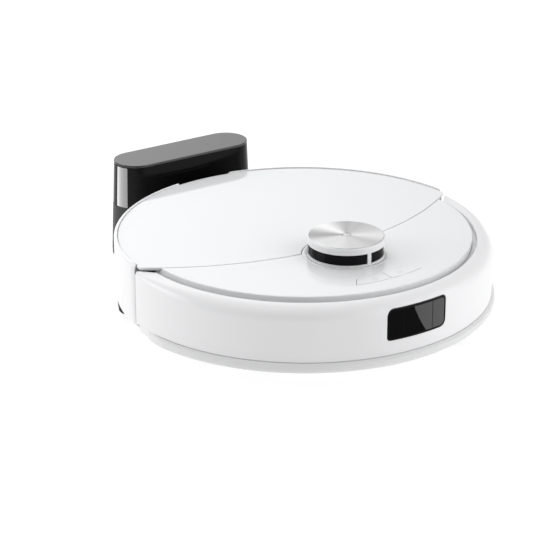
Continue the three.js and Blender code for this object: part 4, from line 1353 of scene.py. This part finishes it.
def make_dock_shell():
    """The matt lower housing, with the nose that carries the charging contacts."""
    low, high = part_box("dock_shell")
    shell = dock_part("dock_lower", low.z, high.z, 0.4 * MM)
    cut(shell, dock_part("core", 0, 60 * MM, inset=DOCK_WALL))
    front = DOCK.y - dock_radius(30 * MM)
    nose = slab("nose", (-42 * MM, low.y, 20 * MM), (42 * MM, front + 3 * MM, 45 * MM), 2 * MM)
    hollow = slab("hollow", (-39.5 * MM, front - 3 * MM, 22.5 * MM), (39.5 * MM, front + 9 * MM, 42.5 * MM))
    boolean(shell, "UNION", cut(nose, hollow))
    margin = 0.6 * MM
    for node in ("dock_contact_right", "dock_contact_left"):
        corner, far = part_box(node)
        start = (corner.x - margin, corner.y - 5 * MM, corner.z - 0.4 * MM)
        cut(shell, slab("slot", start, (far.x + margin, front + 6 * MM, far.z + 0.4 * MM)))
    corner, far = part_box("dock_inlet")
    start = (corner.x - margin, DOCK.y + 15 * MM, corner.z - margin)
    cut(shell, slab("hole", start, (far.x + margin, DOCK.y + 40 * MM, far.z + margin)))
    dress(smooth(clean(shell)), BLACK_MATT, "dock", "black_matt", "dock_shell")


def make_dock_upper():
    """The glossy upper housing and the plate on top."""
    low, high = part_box("dock_window")
    upper = dock_part("dock_upper", low.z, high.z, 0.3 * MM, 0.15 * MM)
    cut(upper, dock_part("core", 50 * MM, 96 * MM, inset=DOCK_WALL))
    dress(smooth(clean(upper)), DOCK_GLOSS, "dock", "black_gloss", "dock_window")
    low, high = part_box("dock_top")
    top = dock_part("dock_plate", low.z, high.z, 0.6 * MM, 0.1 * MM)
    dress(smooth(top), DOCK_PLATE, "dock", "black_gloss", "dock_top")


def foot_outline(name, inset, depth):
    """The dock's outline at the floor, moved in and pushed a little both up and down."""
    outline = [(x, y) for x, y, _ in stadium_ring(0, inset)]
    return prism(name, outline, -depth, depth)


def make_dock_foot():
    """The dock's base plate, with a groove along its underside."""
    low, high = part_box("dock_base")
    foot = dock_part("dock_foot", low.z, high.z, 0.5 * MM, 0.3 * MM)
    groove = foot_outline("groove", 8 * MM, 1 * MM)
    cut(foot, cut(groove, foot_outline("island", 9.5 * MM, 2 * MM)))
    dress(smooth(clean(foot)), BLACK_MATT, "dock", "black_matt", "dock_base")


make_dock_shell()
make_dock_upper()
make_dock_foot()

# ---- CAD nodes that stay ------------------------------------------------------------------


def smoothing_group():
    """Geometry nodes that shade a mesh smooth except along its sharp edges."""
    group = bpy.data.node_groups.new("smooth by angle", "GeometryNodeTree")
    group.interface.new_socket("Geometry", in_out="INPUT", socket_type="NodeSocketGeometry")
    group.interface.new_socket("Geometry", in_out="OUTPUT", socket_type="NodeSocketGeometry")
    link = group.links.new
    start = add_node(group, "NodeGroupInput")
    end = add_node(group, "NodeGroupOutput")
    faces = add_node(group, "GeometryNodeSetShadeSmooth")
    edges = add_node(group, "GeometryNodeSetShadeSmooth", domain="EDGE")
    edges.inputs["Shade Smooth"].default_value = False
    angle = add_node(group, "GeometryNodeInputMeshEdgeAngle")
    sharp = add_node(group, "FunctionNodeCompare", {1: math.radians(CREASE)}, operation="GREATER_THAN")
    link(angle.outputs["Unsigned Angle"], sharp.inputs[0])
    link(sharp.outputs["Result"], edges.inputs["Selection"])
    link(start.outputs[0], faces.inputs["Geometry"])
    link(faces.outputs["Geometry"], edges.inputs["Geometry"])
    link(edges.outputs["Geometry"], end.inputs[0])
    return group


SMOOTHING = smoothing_group()


def refine(obj, width):
    """Rounds the edges of a CAD piece and shades its curved faces smooth, by modifiers alone."""
    weld = obj.modifiers.new("weld", "WELD")
    weld.merge_threshold = 5 * WELD
    flat = obj.modifiers.new("flat faces", "DECIMATE")
    flat.decimate_type = "DISSOLVE"
    flat.angle_limit = math.radians(0.6)
    edges = obj.modifiers.new("edges", "BEVEL")
    edges.width = width
    edges.segments = 2
    edges.angle_limit = math.radians(BEVEL_FROM)
    shading = obj.modifiers.new("smooth", "NODES")
    shading.node_group = SMOOTHING


KEPT = {
    BLACK_GLOSS: ("cliff_sensor_front_right", "cliff_sensor_front_left", "cliff_sensor_rear_right",
                  "cliff_sensor_rear_left", "recharge_window"),
    BLACK_MATT: ("obstacle_sensor", "left_wheel_arm", "right_wheel_arm", "caster_fork",
                 "blower_housing", "dock_inlet"),
    DARK_PLASTIC: ("lidar_base", "lidar_rotor", "left_wheel_well", "right_wheel_well",
                   "caster_socket", "brush_head", "bin_bay"),
    GREY_PLASTIC: ("left_wheel_hub", "right_wheel_hub", "side_brush_motor", "fan_impeller"),
    STEEL: ("charge_contact_right", "charge_contact_left", "fan_motor"),
    GOLD: ("dock_contact_right", "dock_contact_left"),
    BATTERY_BLUE: ("battery_pack",),
    BOARD_GREEN: ("main_board", "dock_board"),
}
for material, kept_nodes in KEPT.items():
    for node in kept_nodes:
        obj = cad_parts[node]
        obj.data.materials.clear()
        obj.data.materials.append(material)
        refine(obj, 0.3 * MM)

# ---- studio -------------------------------------------------------------------------------

FLOOR_HALF = 6.0
WALL_LIGHT = 0.40
# Each patch of light on the walls: its direction, where it fades out and its strength.
GLOWS = (
    ((0.15, 1.0, 0.45), 0.80, 1.5),
    ((0.0, 0.3, 1.0), 0.5, 0.82),
    ((0.72, -0.86, 0.3), 0.72, 2.5),
)
CAMERA_PLACE = Vector((-1.0594, ROBOT.y - 1.5153, 0.8014))
CAMERA_AIM = Vector((-0.5411, ROBOT.y - 0.7514, 0.4183))


def make_floor():
    """A plain pale floor that gives off a little light of its own."""
    size = FLOOR_HALF
    corners = [(-size, -size, 0), (size, -size, 0), (size, size, 0), (-size, size, 0)]
    obj = new_object("floor", corners, [(0, 1, 2, 3)])
    obj.data.materials.append(surface(
        "floor white", (0.30, 0.30, 0.30), 0.8, grain=60, relief=0.0, mottle=0.0,
        Emission_Color=(1, 1, 1, 1), Emission_Strength=0.8, Specular_IOR_Level=0.0,
    ))


make_floor()


def make_light(name, place, target, width, height, power):
    """A rectangle of light that faces a point."""
    light = bpy.data.lights.new(name, "AREA")
    light.shape = "RECTANGLE"
    light.size = width
    light.size_y = height
    light.energy = power
    obj = bpy.data.objects.new(name, light)
    scene.collection.objects.link(obj)
    obj.location = place
    obj.rotation_euler = (Vector(target) - Vector(place)).to_track_quat("-Z", "Y").to_euler()
    return obj


def make_flag(name, corners, seen_by_light=True):
    """A black card that only darkens what the object mirrors, or also the light on it."""
    obj = new_object(name, corners, [(0, 1, 2, 3)])
    mat = surface(name, (0.0, 0.0, 0.0), 0.9, relief=0.0, mottle=0.0, Specular_IOR_Level=0.0)
    obj.data.materials.append(mat)
    obj.visible_camera = False
    obj.visible_shadow = False
    obj.visible_diffuse = seen_by_light


make_light("left_box", (-1.9, 1.05, 0.7), (0, 0, 0.05), 1.2, 1.2, 22)
make_flag("front_flag", [(-3.3, -0.8, 0.0), (-0.5, -3.2, 0.0), (-0.5, -3.2, 2.2), (-3.3, -0.8, 2.2)])
make_flag("window_flag", [(-0.1, -0.24, 0.001), (0.066, -0.24, 0.001), (0.098, -0.42, 0.001),
                          (-0.1, -0.42, 0.001)], seen_by_light=False)


def make_dock_light():
    """A low strip beside the dock, seen only by its gloss black shell."""
    strip = make_light("dock_strip", (-0.17, 0.225, 0.036), (0, 0.225, 0.036), 0.155, 0.07, 1.3)
    strip.visible_camera = False
    shell = bpy.data.collections.new("dock shell")
    shell.objects.link(bpy.data.objects["dock_upper"])
    strip.light_linking.receiver_collection = shell


make_dock_light()


def glow(tree, total, direction, start, strength):
    """Adds a soft patch of light to the studio's walls, brightest in one direction."""
    link = tree.links.new
    facing = add_node(tree, "ShaderNodeVectorMath", operation="DOT_PRODUCT")
    facing.inputs[1].default_value = Vector(direction).normalized()
    shape = add_node(tree, "ShaderNodeMapRange", {"From Min": start, "To Max": strength},
                     interpolation_type="SMOOTHSTEP")
    add = add_node(tree, "ShaderNodeMath")
    link(tree.nodes["Texture Coordinate"].outputs["Generated"], facing.inputs[0])
    link(facing.outputs["Value"], shape.inputs["Value"])
    link(total, add.inputs[0])
    link(shape.outputs["Result"], add.inputs[1])
    return add.outputs["Value"]


def make_studio():
    """Soft walls round the object: dim, with bright patches behind, above and ahead on its left."""
    world = bpy.data.worlds.new("studio")
    scene.world = world
    world.use_nodes = True
    tree = world.node_tree
    add_node(tree, "ShaderNodeTexCoord")
    total = add_node(tree, "ShaderNodeValue").outputs[0]
    total.default_value = WALL_LIGHT
    for direction, start, strength in GLOWS:
        total = glow(tree, total, direction, start, strength)
    background = tree.nodes["Background"]
    background.inputs["Color"].default_value = (1, 1, 1, 1)
    tree.links.new(total, background.inputs["Strength"])


make_studio()
scene.view_settings.view_transform = "Standard"


def make_camera():
    """A long lens that looks down on the object from ahead of it, on its right."""
    camera = bpy.data.objects.new("camera", bpy.data.cameras.new("camera"))
    scene.collection.objects.link(camera)
    camera.data.lens = 141.0
    camera.data.sensor_width = 36
    camera.location = CAMERA_PLACE
    camera.rotation_euler = (CAMERA_AIM - CAMERA_PLACE).to_track_quat("-Z", "Y").to_euler()
    scene.camera = camera


make_camera()
